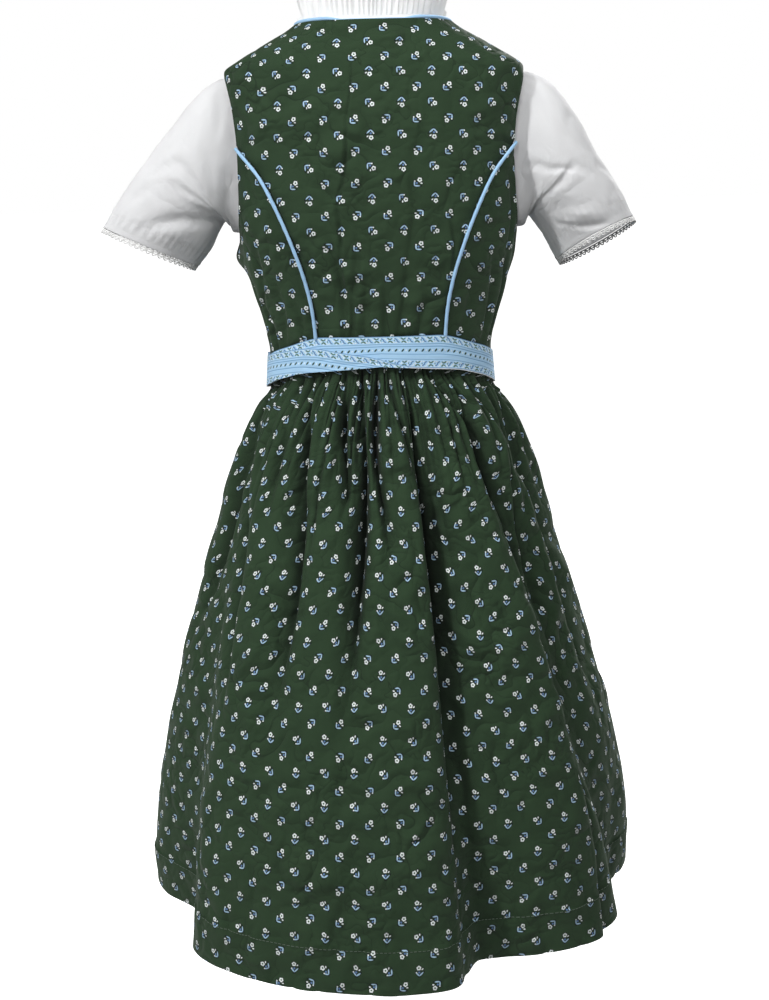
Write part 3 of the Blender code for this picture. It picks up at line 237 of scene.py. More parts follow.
SLEEVE_CREASES = {
    "left": table(
        CREASE,
        (62, .43, 122, .42, .006, .003), (70, .52, 112, .5, .007, -.0022),
        (76, .9, 136, .7, .0085, .0052), (136, .7, 170, .62, .008, .004),
        (96, .62, 128, .56, .0075, -.0026), (38, .12, 74, .17, .0045, .0028),
        (30, .22, 60, .3, .005, .002), (84, .24, 118, .3, .006, .0024), (48, .6, 66, .44, .007, .0022),
        (40, .8, 62, .66, .0075, .002), (150, .22, 176, .4, .006, .003), (158, .5, 186, .8, .007, .0024),
        (214, .3, 262, .42, .0065, .0028), (226, .62, 290, .8, .008, .0036),
        (296, .2, 322, .34, .0055, .0022), (300, .56, 330, .74, .007, .0022)),
    "right": table(
        CREASE,
        (134, .84, 76, .985, .0026, .0036), (128, .78, 72, .93, .006, -.0026),
        (104, .12, 77, .6, .0045, .0036), (64, .24, 40, .56, .0065, .002),
        (124, .6, 74, .54, .007, .0034), (74, .54, 52, .72, .0065, .0022),
        (150, .34, 176, .58, .006, .003), (132, .8, 108, .92, .005, -.0026),
        (40, .14, 66, .22, .0045, .0026), (28, .34, 50, .3, .005, .002), (20, .76, 44, .66, .007, .002),
        (164, .7, 196, .86, .006, .0024), (216, .3, 262, .4, .0065, .0028),
        (228, .6, 290, .78, .008, .0034), (298, .18, 326, .36, .0055, .0022),
        (302, .58, 332, .72, .007, .0022)),
}
TIE_CREASES = table(
    CREASE,
    (64, .52, 30, .6, .0016, .0007), (34, .72, 8, .8, .0014, .0007), (12, .7, -12, .92, .0014, .0008),
    (52, .8, 26, .86, .0015, .0006), (-22, .45, -60, .36, .0016, .0006),
    (-26, .74, -70, .7, .0015, .0007), (-40, .2, -84, .24, .0015, .0005),
    (-62, .55, -96, .5, .0016, .0006), (92, .3, 130, .36, .0016, .0006),
    (98, .66, 142, .6, .0016, .0006), (-104, .4, -150, .44, .0016, .0006),
    (-112, .74, -160, .7, .0016, .0006), (166, .3, 198, .36, .0016, .0006),
    (172, .64, 206, .6, .0016, .0006),
)


# ---- curves and rings
def smooth_through(x, y):
    """A function through points that never overshoots them (monotone cubic)."""
    x = np.asarray(x, float)
    y = np.asarray(y, float)
    step = np.diff(x)
    slope = np.diff(y) / step
    tangent = np.zeros(len(x))
    tangent[0] = slope[0]
    tangent[-1] = slope[-1]
    for i in range(1, len(x) - 1):
        if slope[i - 1] * slope[i] > 0:
            tangent[i] = 2 * slope[i - 1] * slope[i] / (slope[i - 1] + slope[i])

    def value(at):
        at = np.clip(np.asarray(at, float), x[0], x[-1])
        i = np.clip(np.searchsorted(x, at) - 1, 0, len(x) - 2)
        t = (at - x[i]) / step[i]
        start = (1 + 2 * t) * (1 - t) ** 2 * y[i] + t * (1 - t) ** 2 * step[i] * tangent[i]
        end = t * t * (3 - 2 * t) * y[i + 1] + t * t * (t - 1) * step[i] * tangent[i + 1]
        return start + end
    return value


def smooth_curve(rows, x_column, y_column):
    return smooth_through([getattr(row, x_column) for row in rows],
                          [getattr(row, y_column) for row in rows])


def wrap(angle):
    """The same direction, between -180 and 180 degrees."""
    return (np.asarray(angle, float) + 180.0) % 360.0 - 180.0


def edge_height(*rows):
    """The height of an edge, from rows of (angle from the centre back either way, height)."""
    curve = smooth_through(*zip(*rows))
    return lambda angle: curve(np.abs(wrap(angle)))


waist_height = edge_height(
    (0, -.346), (40, -.348), (66, -.3585), (90, -.374), (130, -.38), (180, -.382))
hem_height = edge_height(
    (0, -1.046), (45, -1.034), (90, -1.012), (135, -1.016), (180, -1.02))
band_top = edge_height(
    (0, -.327), (40, -.327), (66, -.341), (90, -.355), (130, -.361), (180, -.363))
band_bottom = edge_height(
    (0, -.362), (33, -.366), (51, -.369), (66, -.377), (90, -.3925), (130, -.399), (180, -.401))
dress_neck = edge_height(
    (0, NECK_HEIGHT), (60, NECK_HEIGHT), (90, .032), (112, .021), (124, -.009), (136, -.05),
    (158, -.078), (180, -.085))
blouse_neck = edge_height(
    (0, .04), (60, .041), (90, .041), (112, .032), (124, .01), (136, -.027), (158, -.051), (180, -.057))

RING_SIZES = ("half_width", "back_depth", "front_depth")
torso_sizes = [smooth_curve(TORSO, "height", size) for size in RING_SIZES]
skirt_sizes = [smooth_curve(SKIRT, "drop", size) for size in RING_SIZES]
seam_across = smooth_curve(PRINCESS_SEAM, "height", "across")
inner_neck_inset = smooth_through((-0.27, -0.06, -0.02, 0.02, 0.04),
                                 (0.0052, 0.0074, 0.0088, 0.0068, 0.0054))
gather_size = smooth_through((0, 0.03, 0.058, 0.098, 0.16, 0.24, 0.34, 1),
                             (0.0007, 0.0007, 0.0040, 0.0050, 0.0036, 0.0016, 0, 0))


def steps(start, end, count):
    return np.linspace(start, end, count + 1)


def unit(vectors):
    return vectors / np.linalg.norm(vectors, axis=-1, keepdims=True)


def together(*values):
    """Values side by side in a new last axis, each spread over the shape of them all."""
    return np.stack(np.broadcast_arrays(*values), -1)


def from_polar(angle, radius, height):
    turn = np.radians(angle)
    return together(radius * np.sin(turn), radius * np.cos(turn), height)


def ring_radius(angle, level, sizes):
    half_width, back_depth, front_depth = (size(level) for size in sizes)
    turn = np.radians(angle)
    depth = np.where(np.cos(turn) > 0, back_depth, front_depth)
    along = np.abs(np.cos(turn) / depth) ** ROUNDNESS
    across = np.abs(np.sin(turn) / half_width) ** ROUNDNESS
    return (along + across) ** (-1 / ROUNDNESS)


def torso_radius(angle, height):
    return ring_radius(angle, height, torso_sizes) + underarm_point(angle, height)


def underarm_point(angle, height):
    """The side of the bodice stands out in a soft point below each armhole."""
    size = np.where(wrap(angle) > 0, 0.011, 0.003)
    around = (np.abs(wrap(angle)) - 97.0) / 11.0
    down = (height + 0.238) / 0.017
    return size * np.exp(-around ** 2 - down ** 2)


def torso_point(angle, height, out=0.0):
    return from_polar(angle, torso_radius(angle, height) + out, height)


def torso_normals(angle, height):
    """Unit normals of the torso's surface, away from its axis."""
    across = torso_point(angle + 0.4, height) - torso_point(angle - 0.4, height)
    up = torso_point(angle, height + 0.002) - torso_point(angle, height - 0.002)
    normal = unit(np.cross(across, up))
    at = torso_point(angle, height)
    outward = np.sum(normal[..., :2] * at[..., :2], axis=-1, keepdims=True)
    return np.where(outward < 0, -normal, normal)


def blouse_point(angle, height, out=0.0):
    """The blouse lies inside the bodice, set in along the bodice's own normals."""
    angle, height = np.broadcast_arrays(np.asarray(angle, float), np.asarray(height, float))
    inset = BODICE_CLOTH + inner_neck_inset(height) - out
    return torso_point(angle, height) - inset[..., None] * torso_normals(angle, height)


def fold_depth(angle, drop, folds, roundness=2.0):
    """How far the folds press the skirt in at this place; less round is sharper."""
    total = 0.0
    for fold in folds:
        aside = wrap(angle - smooth_through(fold.drops, fold.angles)(drop))
        depth = smooth_through(fold.drops, fold.depths)(drop)
        steep = np.sign(aside) == fold.steep_side
        width = np.where(steep, fold.steep_width, fold.soft_width)
        total = total + depth * np.exp(-np.abs(aside / width) ** roundness)
    return total


def uneven(angle):
    """Gathers are not all as wide: the shift of a place round the waist, in degrees."""
    turn = np.radians(angle)
    return 1.1 * np.sin(5 * turn + 0.4) + 0.8 * np.sin(13 * turn + 1.9)


# ---- creases and small folds
def crease_relief(turn, level, creases, scale):
    """How far the creases raise the cloth; the scale turns places into metres."""
    total = np.zeros(np.broadcast(turn, level).shape)
    turn_length, level_length, factor = scale
    for crease in creases:
        across = wrap(turn - crease.turn_from) * turn_length
        down = (level - crease.level_from) * level_length
        end_across = (crease.turn_to - crease.turn_from) * turn_length
        end_down = (crease.level_to - crease.level_from) * level_length
        length = math.hypot(end_across, end_down)
        along = (across * end_across + down * end_down) / length ** 2
        middle = np.sin(np.clip(along, 0, 1) * math.pi)
        aside = (across * end_down - down * end_across) / length - 0.06 * length * middle
        beyond = (along - np.clip(along, 0, 1)) * length
        apart = np.hypot(aside, beyond) / crease.width
        strength = 0.35 + 0.65 * middle ** 0.7
        total -= crease.depth * strength * (np.exp(-apart ** 2) - 0.35 * np.exp(-(apart / 2.3) ** 2))
    return factor * total


def scatter(number, factor):
    """A fixed, uneven value between 0 and 1 for the number of a gather."""
    return (number * factor + 0.37) % 1.0


def fine_gathers(angle, drop, start, end, count):
    """Narrow valleys that run down from the ties, each with its own depth and length."""
    total = np.zeros(np.broadcast(angle, drop).shape)
    spacing = (end - start) / count
    for number in range(count):
        own = start + (number + 0.5 + 0.75 * (scatter(number, 0.618) - 0.5)) * spacing
        reach = 0.10 + 0.38 * scatter(number, 0.414) ** 2.0
        depth = 0.0050 + 0.0085 * scatter(number, 0.732)
        width = 0.60 + 0.80 * scatter(number, 0.271)
        lean = (scatter(number, 0.543) - 0.5) * 16 + 0.05 * wrap(own)
        aside = wrap(angle - own - lean * drop) / (width * (1 + 3.5 * drop))
        aside = np.where(aside > 0, aside * (0.6 + 0.9 * scatter(number, 0.879)), aside)
        fade = np.clip((drop - 0.016) / 0.030, 0, 1) * np.clip(1 - drop / reach, 0, 1) ** 0.7
        total -= depth * fade * (np.exp(-np.abs(aside)) - 0.22 * np.exp(-(aside / 3.5) ** 2))
    return total


def crumple(points, size, height):
    """Fine meandering creases: sharp where a noise field crosses zero."""
    flat = points.reshape(-1, 3) * (1, 1, 0.8) / size
    values = np.array([noise.noise(Vector(point)) for point in flat])
    wide = np.array([noise.noise(Vector(point * 0.37 + 7.1)) for point in flat])
    sharp = np.exp(-np.abs(values) / 0.11) * np.clip(0.5 + 1.6 * wide, 0, 1)
    return (height * (0.9 * values - sharp)).reshape(points.shape[:-1])


def gather_wave(angle, gathers_round):
    """Round ridges and sharp valleys, each gather a little deeper or shallower."""
    turn = np.radians(angle)
    wave = 2 * np.abs(np.cos(turn * gathers_round / 2)) - 1
    size = 0.72 + 0.28 * np.sin(turn * 11 + 0.8) * np.sin(turn * 4 + 2.0)
    return wave * size


def skirt_relief(place, drop):
    """What the scene adds to the skirt's form; the apron and the bow's tails follow it."""
    below = np.clip((drop - 0.026) / 0.030, 0, 1)
    relief = crease_relief(place, drop, SKIRT_CREASES, SKIRT_SCALE)
    back = fine_gathers(place, drop, -92, 92, 44)
    front = fine_gathers(place - 180, drop, -88, 88, 30) * 0.35
    sharp = fold_depth(place, drop, SHARP_FOLDS, 1.3)
    return below * relief + back + front - SHARP_FOLD_STRENGTH * below * sharp


def skirt_height(angle, drop):
    top = waist_height(angle) - WAIST_GAP
    return top + (hem_height(angle) - top) * drop


def skirt_radius(angle, drop, gather):
    return (ring_radius(angle, drop, skirt_sizes) + gather_size(drop) * gather
            - fold_depth(angle, drop, FOLDS))


def skirt_grid(angle, drop, gathers_round, out=0.0):
    place = angle + uneven(angle) * np.sin(np.radians(angle) * 2) ** 2
    radius = skirt_radius(place, drop, gather_wave(angle, gathers_round)) + out
    radius = radius + skirt_relief(place, drop)
    height = skirt_height(place, drop)
    small = crumple(from_polar(place, radius, height), *SKIRT_CRUMPLE) * np.clip(drop * 8, 0, 1)
    return from_polar(place, radius + small, height)


# ---- meshes
def added(name, data):
    """A new object in the scene."""
    made = bpy.data.objects.new(name, data)
    bpy.context.scene.collection.objects.link(made)
    return made


def corners(grid):
    """The four corners of each cell of a grid of rows and columns."""
    return np.stack([grid[:-1, :-1], grid[:-1, 1:], grid[1:, 1:], grid[1:, :-1]], 2).reshape(
        -1, 4, grid.shape[-1])


def dressed(name, points, faces, uvs, material, node=None):
    """A piece from its points, its faces and a UV place for each face corner."""
    first = points[faces[:, 0]]
    volume = sum(np.sum(first * np.cross(points[faces[:, k]], points[faces[:, k + 1]]))
                 for k in range(1, faces.shape[1] - 1))
    if volume < 0:
        faces, uvs = faces[:, ::-1], uvs[:, ::-1]
    mesh = bpy.data.meshes.new(name)
    mesh.from_pydata(points.tolist(), [], faces.tolist())
    mesh.uv_layers.new(name="cloth").data.foreach_set("uv", uvs.reshape(-1).astype(np.float32))
    mesh.materials.append(material)
    mesh.shade_smooth()
    mesh.set_sharp_from_angle(angle=math.radians(70))
    piece = added(name, mesh)
    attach(piece, "root")
    if node:
        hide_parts(node)


def grid_normals(grid, closed, centre):
    """Unit normals of a grid of points, away from its centre line."""
    if closed:
        padded = np.concatenate([grid[:, -1:], grid, grid[:, :1]], axis=1)
        across = padded[:, 2:] - padded[:, :-2]
    else:
        across = np.gradient(grid, axis=1)
    normal = np.cross(across, np.gradient(grid, axis=0))
    normal /= np.maximum(np.linalg.norm(normal, axis=2, keepdims=True), 1e-12)
    return -normal if np.sum(normal * (grid - centre)) < 0 else normal


def shell(part, grid, uv, material, closed=False, centre=None, thickness=SHELL, name=None):
    """A thin closed shell whose outer face is the grid; uv has a column more if closed."""
    if centre is None:
        centre = grid * (0, 0, 1)
    inner = grid - grid_normals(grid, closed, centre) * thickness
    rows, columns = grid.shape[:2]
    index = np.arange(rows * columns).reshape(rows, columns, 1)
    if closed:
        index = np.concatenate([index, index[:, :1]], axis=1)
    back = index + rows * columns
    strips = [(index, uv), (back[:, ::-1], uv[:, ::-1])]
    for axis in range(1 if closed else 2):       # the cut edges, between the two faces
        for end, faces in ((0, (back, index)), (-1, (index, back))):
            strips.append((np.stack([face.take(end, axis) for face in faces], axis),
                           np.stack([uv.take(end, axis)] * 2, axis)))
    faces = np.concatenate([corners(places)[..., 0] for places, _ in strips])
    uvs = np.concatenate([corners(flat) for _, flat in strips])
    points = np.concatenate([grid.reshape(-1, 3), inner.reshape(-1, 3)])
    dressed(name or part + "_cloth", points, faces, uvs, material, part)


def skin(rings, flat, closed=False):
    """Points, faces and UV of a form through rings of points, capped unless it is closed."""
    count, sides = rings.shape[:2]
    index = np.arange(count * sides).reshape(count, sides, 1)
    index = np.concatenate([index, index[:, :1]], axis=1)
    if closed:
        index = np.concatenate([index, index[:1]])
    faces, uvs = corners(index)[..., 0], corners(flat)
    if not closed:
        cap = np.array([(k, k + 1, sides - k - 2, sides - k - 1) for k in range(sides // 2 - 1)])
        faces = np.concatenate([faces, cap[:, ::-1], cap + (count - 1) * sides])
        uvs = np.concatenate([uvs, *(np.tile(flat[end, 0], (len(cap), 4, 1)) for end in (0, -1))])
    return rings.reshape(-1, 3), faces, uvs


def lengths_along(path):
    """How far along a path each of its points is."""
    return np.concatenate([[0], np.cumsum(np.linalg.norm(np.diff(path, axis=0), axis=1))])


def tube(path, radius, sides=8, closed=False, up=(0.0, 0.0, 1.0)):
    """A round cord along a path; its UV runs along it and round it."""
    ahead = unit(np.roll(path, -1, axis=0) - np.roll(path, 1, axis=0) if closed
                 else np.gradient(path, axis=0))
    side = unit(np.cross(ahead, up))
    upward = np.cross(side, ahead)
    turns = np.arange(sides) * 2 * math.pi / sides
    radius = np.broadcast_to(np.asarray(radius, float), (len(path),))[:, None, None]
    rings = (path[:, None] + radius * np.cos(turns)[None, :, None] * side[:, None]
             + radius * np.sin(turns)[None, :, None] * upward[:, None])
    along = lengths_along(path)
    if closed:
        along = np.append(along, along[-1] + np.linalg.norm(path[0] - path[-1]))
    around = np.arange(sides + 1) / sides * 2 * math.pi * radius.mean()
    return skin(rings, together(along[:, None], around), closed)


def joined(forms):
    """Several forms as one."""
    points, faces, uvs = zip(*forms)
    starts = np.cumsum([0] + [len(part) for part in points])
    return (np.concatenate(points),
            np.concatenate([part + start for part, start in zip(faces, starts)]),
            np.concatenate(uvs))


class Graph:
    """Adds nodes to a material or the world; a method gives back what its node puts out."""

    def __init__(self, owner, shader="Principled BSDF"):
        owner.use_nodes = True
        self.owner, self.tree = owner, owner.node_tree
        self.shader = self.tree.nodes[shader]

    def fill(self, node, inputs):
        """Sets a node's inputs, or links them to what another node puts out."""
        for key, value in dict(inputs).items():
            if isinstance(value, bpy.types.NodeSocket):
                self.tree.links.new(value, node.inputs[key])
            else:
                node.inputs[key].default_value = value
        return node

    def node(self, kind, inputs=(), **settings):
        made = self.tree.nodes.new(kind)
        for name, value in settings.items():
            setattr(made, name, value)
        return self.fill(made, inputs)

    def math(self, operation, *values, clamp=False):
        return self.node("ShaderNodeMath", enumerate(values), operation=operation,
                         use_clamp=clamp).outputs[0]

    def product(self, value, factor, plus=0.0, clamp=False):
        return self.math("MULTIPLY_ADD", value, factor, plus, clamp=clamp)

    def vector(self, operation, *values):
        return self.node("ShaderNodeVectorMath", enumerate(values), operation=operation).outputs[0]

    def length(self, place):
        return self.node("ShaderNodeVectorMath", {0: place}, operation="LENGTH").outputs["Value"]

    def millimetres(self):
        """Places on the flat cloth."""
        flat = self.node("ShaderNodeUVMap", uv_map="cloth").outputs[0]
        return self.vector("MULTIPLY", flat, (1000, 1000, 0))

    def apart(self, place):
        return self.node("ShaderNodeSeparateXYZ", {0: place}).outputs[:2]

    def mix(self, factor, first, second):
        colours = {0: factor, 6: first, 7: second}
        colours = {key: (*value, 1.0) if isinstance(value, tuple) else value
                   for key, value in colours.items()}
        return self.node("ShaderNodeMix", colours, data_type="RGBA").outputs[2]

    def noise(self, place, size, detail=2.0, output=0):
        return self.node("ShaderNodeTexNoise", {"Vector": place, "Scale": 1 / size,
                                                "Detail": detail}).outputs[output]

    def marks(self, place, ellipses):
        """How far outside the nearest of some ellipses a place lies; below 0 is inside."""
        nearest = None
        for across, up, wide, high, turn in ellipses:
            local = self.node("ShaderNodeMapping", {
                "Vector": place, "Location": (across, up, 0),
                "Rotation": (0, 0, math.radians(turn)), "Scale": (wide, high, 1)},
                vector_type="TEXTURE").outputs[0]
            size = min(wide, high)
            away = self.product(self.length(local), size, -size)
            nearest = away if nearest is None else self.math("MINIMUM", nearest, away)
        return nearest

    def inside(self, away, grow=0.0, soft=0.35):
        return self.product(away, -1 / soft, 0.5 + grow / soft, clamp=True)

    def rumple(self, place, size):
        """Creases as in worn cotton: facets that meet in crisp lines, more here, less there."""
        moved = self.vector("MULTIPLY_ADD", self.noise(place, size / 0.6, 1.0, 1), (size,) * 3, place)
        long = self.vector("MULTIPLY", moved, (0.90, 1.12, 1.0))
        facets = self.math("ABSOLUTE", self.math("SUBTRACT", self.noise(long, size, 0.8), 0.5))
        return facets, self.product(self.noise(place, size * 3.1, 1.0), 5.0, -2.0, clamp=True)

    def weave(self, place, pitch, thread, creases):
        """Threads over and under each other, and creases; heights are in millimetres."""
        over, along = (self.math("SINE", self.math("MULTIPLY", way, 2 * math.pi / pitch))
                       for way in self.apart(place))
        over = self.math("MULTIPLY", over, along)
        height = self.math("MULTIPLY", over, thread)
        # A mask of the crease lines; the printed cotton darkens its colour there as painted shade.
        self.crease_shade_mask = 0.0
        for size, high in creases:
            facets, amount = self.rumple(place, size)
            height = self.product(self.math("MULTIPLY", facets, high),
                                  self.product(amount, 0.85, 0.15), height)
            line = self.math("MULTIPLY", self.product(facets, -75.0, 1.0, clamp=True), amount)
            self.crease_shade_mask = self.math("MAXIMUM", line, self.crease_shade_mask)
        self.bump(height, 1.0, 0.001)
        return over

    def bump(self, height, strength, distance):
        bumped = self.node("ShaderNodeBump", {"Strength": strength, "Distance": distance,
                                              "Height": height})
        self.fill(self.shader, {"Normal": bumped.outputs[0]})

    def painted_fold_shade(self, reach):
        """Painted shade: 1 on open cloth and less down in narrow folds, where the colour is darkened as if
        in shade.
        """
        open_share = self.node("ShaderNodeAmbientOcclusion", {"Distance": reach},
                               samples=2).outputs["AO"]
        return self.product(open_share, 2.2, -0.95, clamp=True)

    def finish(self, colour):
        self.fill(self.shader, {"Base Color": colour})
        return self.owner


def new_material(name, roughness, sheen=0.0, metallic=0.0):
    graph = Graph(bpy.data.materials.new(name))
    graph.fill(graph.shader, {
        "Roughness": roughness, "Metallic": metallic, "Sheen Weight": sheen, "Sheen Roughness": 0.5,
        "Specular IOR Level": 0.5 if metallic else 0.25})
    return graph


# Each mark is an ellipse, in millimetres: across, up, half width, half height, turn.
PRINT_CELL = 36.0            # between two flowers of a row
PETALS = tuple((-0.9 + 1.60 * math.sin(turn), 3.0 + 1.60 * math.cos(turn), 1.22, 1.10,
                -math.degrees(turn)) for turn in (k * 2 * math.pi / 5 for k in range(5)))
FLOWER_EYE = ((-0.9, 3.0, 1.05, 1.0, 0),)
BUDS = ((3.2, 1.5, 1.25, 0.75, 35), (-3.7, -1.9, 0.85, 0.75, 0))
LEAVES = ((-2.2, -3.9, 2.5, 0.80, -47), (1.9, -3.8, 2.9, 0.80, 42))
STALK = ((-0.6, -1.9, 1.2, 1.1, 0), (-0.5, -5.3, 0.8, 0.7, 0))


def printed_cotton():
    """Dark green cotton printed with rows of small flowers that face four ways."""
    graph = new_material("printed_green_cotton", 0.88, 0.02)
    place = graph.millimetres()
    found = []
    # Two grids of cells, one between the other's; the nearer cell's middle holds the flower.
    for half, first_turn, second_turn in ((0.5, 0, 50), (0.0, -45, 135)):
        number = graph.vector("FLOOR", graph.vector("MULTIPLY_ADD", place, (1 / PRINT_CELL,) * 3,
                                                    (half, half, 0)))
        middle = graph.vector("MULTIPLY_ADD", number, (PRINT_CELL,) * 3,
                              ((0.5 - half) * PRINT_CELL, (0.5 - half) * PRINT_CELL, 0))
        local = graph.vector("SUBTRACT", place, middle)
        odd = graph.math("PINGPONG", graph.math("ADD", *graph.apart(number)), 1.0)
        turn = graph.product(odd, math.radians(first_turn - second_turn), math.radians(-first_turn))
        found.append((graph.length(local), local, turn))
    (first_away, first_local, first_turn), (away, local, turn) = found
    nearer = graph.math("LESS_THAN", away, first_away)
    local = graph.node("ShaderNodeMix", {0: nearer, 4: first_local, 5: local},
                       data_type="VECTOR").outputs[1]
    turn = graph.node("ShaderNodeMix", {0: nearer, 2: first_turn, 3: turn}).outputs[0]
    local = graph.node("ShaderNodeVectorRotate", {"Vector": local, "Angle": turn},
                       rotation_type="Z_AXIS").outputs[0]
    petals, eye, leaves, stalk = (graph.marks(local, ellipses)
                                  for ellipses in (PETALS + BUDS, FLOWER_EYE, LEAVES, STALK))
    everything = graph.math("MINIMUM", petals, graph.math("MINIMUM", leaves, stalk))
    over = graph.weave(place, 0.62, 0.026, ((44.0, 28.0), (18.0, 8.0)))
    cloudy = graph.product(graph.noise(place, 38.0, 4.0), 1.1, -0.05, clamp=True)
    colour = graph.mix(cloudy, (0.0095, 0.0275, 0.0095), (0.0205, 0.0470, 0.0190))
    colour = graph.mix(graph.product(over, 0.09, 0.09), colour, (0.050, 0.090, 0.048))
    # Painted shade along the crease lines, where the creases' valleys would lie in shade.
    painted_crease_shade = graph.math("MULTIPLY", graph.crease_shade_mask, 0.60)
    colour = graph.mix(painted_crease_shade, colour, (0.0040, 0.0110, 0.0045))
    # Painted shade: the green goes nearly black down in narrow folds.
    colour = graph.mix(graph.painted_fold_shade(0.050), (0.0018, 0.0055, 0.0022), colour)
    for away, grow, shade in ((everything, 0.70, (0.005, 0.010, 0.007)),
                              (stalk, 0.0, (0.110, 0.200, 0.380)),
                              (leaves, 0.0, (0.370, 0.540, 0.690)),
                              (petals, 0.0, (0.760, 0.810, 0.800)),
                              (eye, 0.0, (0.050, 0.090, 0.060))):
        colour = graph.mix(graph.inside(away, grow), colour, shade)
    return graph.finish(colour)


TIE_REPEAT = 15.7            # millimetres
TIE_MIDDLE = 19.5            # of the two borders, below the top edge
BORDER_LEAVES = ((2.3, 3.1, 2.2, 0.85, 38), (4.9, 3.3, 1.9, 0.75, 142),
                 (2.9, 6.6, 1.9, 0.75, 142), (5.4, 6.9, 2.2, 0.85, 38), (8.9, 5.2, 0.9, 0.55, 80))
BORDER_BUDS = ((10.4, 3.3, 1.9, 0.75, 28), (12.0, 5.1, 1.7, 0.75, 72), (13.4, 7.0, 1.9, 0.75, 28))
BORDER_PETALS = ((8.0, 2.9, 1.8, 0.60, 120), (7.9, 7.3, 1.8, 0.60, 58), (14.6, 3.6, 1.7, 0.60, 64),
                 (11.0, 7.6, 1.5, 0.60, 150), (0.9, 5.1, 0.8, 1.50, 8), (12.9, 2.0, 1.4, 0.5, 10),
                 (3.9, 1.7, 0.9, 0.5, 0), (3.9, 8.4, 0.9, 0.5, 0))
DASHES = ((2.6, 17.8, 2.3, 1.05, 128), (10.45, 17.8, 2.3, 1.05, 128))
DASH_DOTS = ((6.5, 17.8, 1.3, 0.7, 128), (14.4, 17.8, 1.3, 0.7, 128))


def tie_cotton():
    """Light blue ribbon with a leafy border along both edges and dashes between them."""
    graph = new_material("patterned_blue_tie", 0.74, 0.15)
    place = graph.millimetres()
    x, y = graph.apart(place)
    down = graph.math("MULTIPLY", y, -1.0)
    around = graph.math("FLOORED_MODULO", x, TIE_REPEAT)
    folded = graph.math("SUBTRACT", TIE_MIDDLE, graph.math(
        "ABSOLUTE", graph.math("SUBTRACT", down, TIE_MIDDLE)))
    border, straight = (graph.node("ShaderNodeCombineXYZ", {0: around, 1: level}).outputs[0]
                        for level in (folded, down))
    over = graph.weave(place, 0.55, 0.030, ((16.0, 1.6),))
    colour = graph.mix(graph.noise(place, 26.0, 3.0), (0.360, 0.610, 0.860), (0.440, 0.700, 0.930))
    colour = graph.mix(graph.product(over, 0.08, 0.08), colour, (0.600, 0.780, 0.950))
    for level, at, half, shade in ((folded, 0.4, 0.35, (0.090, 0.230, 0.450)),
                                   (folded, 10.2, 0.30, (0.110, 0.270, 0.500)),
                                   (down, 13.2, 0.40, (0.110, 0.280, 0.540)),
                                   (down, 22.6, 0.40, (0.110, 0.280, 0.540)),
                                   (down, 39.6, 0.60, (0.820, 0.860, 0.880))):
        away = graph.math("ABSOLUTE", graph.math("SUBTRACT", level, at))
        colour = graph.mix(graph.inside(graph.math("SUBTRACT", away, half)), colour, shade)
    for at, ellipses, shade in ((border, BORDER_PETALS, (0.760, 0.850, 0.890)),
                                (border, BORDER_BUDS, (0.095, 0.215, 0.450)),
                                (border, BORDER_LEAVES, (0.075, 0.160, 0.110)),
                                (straight, DASH_DOTS, (0.740, 0.850, 0.910)),
                                (straight, DASHES, (0.020, 0.055, 0.050))):
        colour = graph.mix(graph.inside(graph.marks(at, ellipses)), colour, shade)
    return graph.finish(colour)


def plain_cotton(name, dark, light, pitch, roughness, sheen, creases=1.0, thin=False):
    """Cotton of one colour; thin white cotton glows a little with the light behind it."""
    graph = new_material(name, roughness, sheen)
    if thin:
        graph.fill(graph.shader, {"Subsurface Weight": 0.6, "Subsurface Radius": (1.0, 1.0, 1.0),
                                  "Subsurface Scale": 0.004})
    place = graph.millimetres()
    over = graph.weave(place, pitch, 0.020, ((30.0, creases), (11.0, 0.25 * creases)))
    shade = graph.product(over, 0.12, graph.noise(place, 24.0, 4.0), clamp=True)
    return graph.finish(graph.mix(shade, dark, light))


def pewter_metal():
    graph = new_material("pewter_button", 0.36, metallic=1.0)
    place = graph.node("ShaderNodeTexCoord").outputs["Object"]
    rough = graph.noise(place, 0.0012, 3.0)
    graph.bump(rough, 0.25, 0.00015)
    return graph.finish(graph.mix(rough, (0.26, 0.26, 0.255), (0.56, 0.56, 0.55)))


green = printed_cotton()
tie = tie_cotton()
apron_blue = plain_cotton("plain_blue_apron", (0.310, 0.530, 0.790), (0.400, 0.630, 0.870), 0.55,
                          0.76, 0.15, 1.6)
white = plain_cotton("white_cotton", (0.770, 0.775, 0.790), (0.820, 0.825, 0.838), 0.50,
                     0.85, 0.0, 4.0, thin=True)
lace = plain_cotton("white_thread", (0.820, 0.820, 0.812), (0.880, 0.880, 0.872), 0.40, 0.84, 0.10)
# The ruffle's white is the blouse's cotton painted lighter: painted light, for the bright light on the
# ruffle.
frill = plain_cotton("white_frill_painted_lighter", (0.930, 0.930, 0.925), (0.960, 0.960, 0.955), 0.40,
                     0.84, 0.10, 0.4, thin=True)
piping = plain_cotton("blue_cord", (0.280, 0.500, 0.760), (0.400, 0.630, 0.870), 0.70, 0.62, 0.20)
green_thread = plain_cotton("green_thread", (0.075, 0.105, 0.075), (0.105, 0.140, 0.105), 0.4,
                            0.8, 0.05)
pewter = pewter_metal()


# ---- edges of the bodice
def side_name(side):
    return "left" if side > 0 else "right"


def armpit(armhole):
    return armhole.centre_z - armhole.half_height


def armhole_depth(armhole, height, side):
    """The armhole's y at a height; side is +1 on its back edge and -1 on its front."""
    level = np.clip((height - armhole.centre_z) / armhole.half_height, -1, 1)
    wide = np.sqrt(1 - level ** 2)
    return armhole.centre_y * wide ** 2 + side * armhole.half_depth * wide


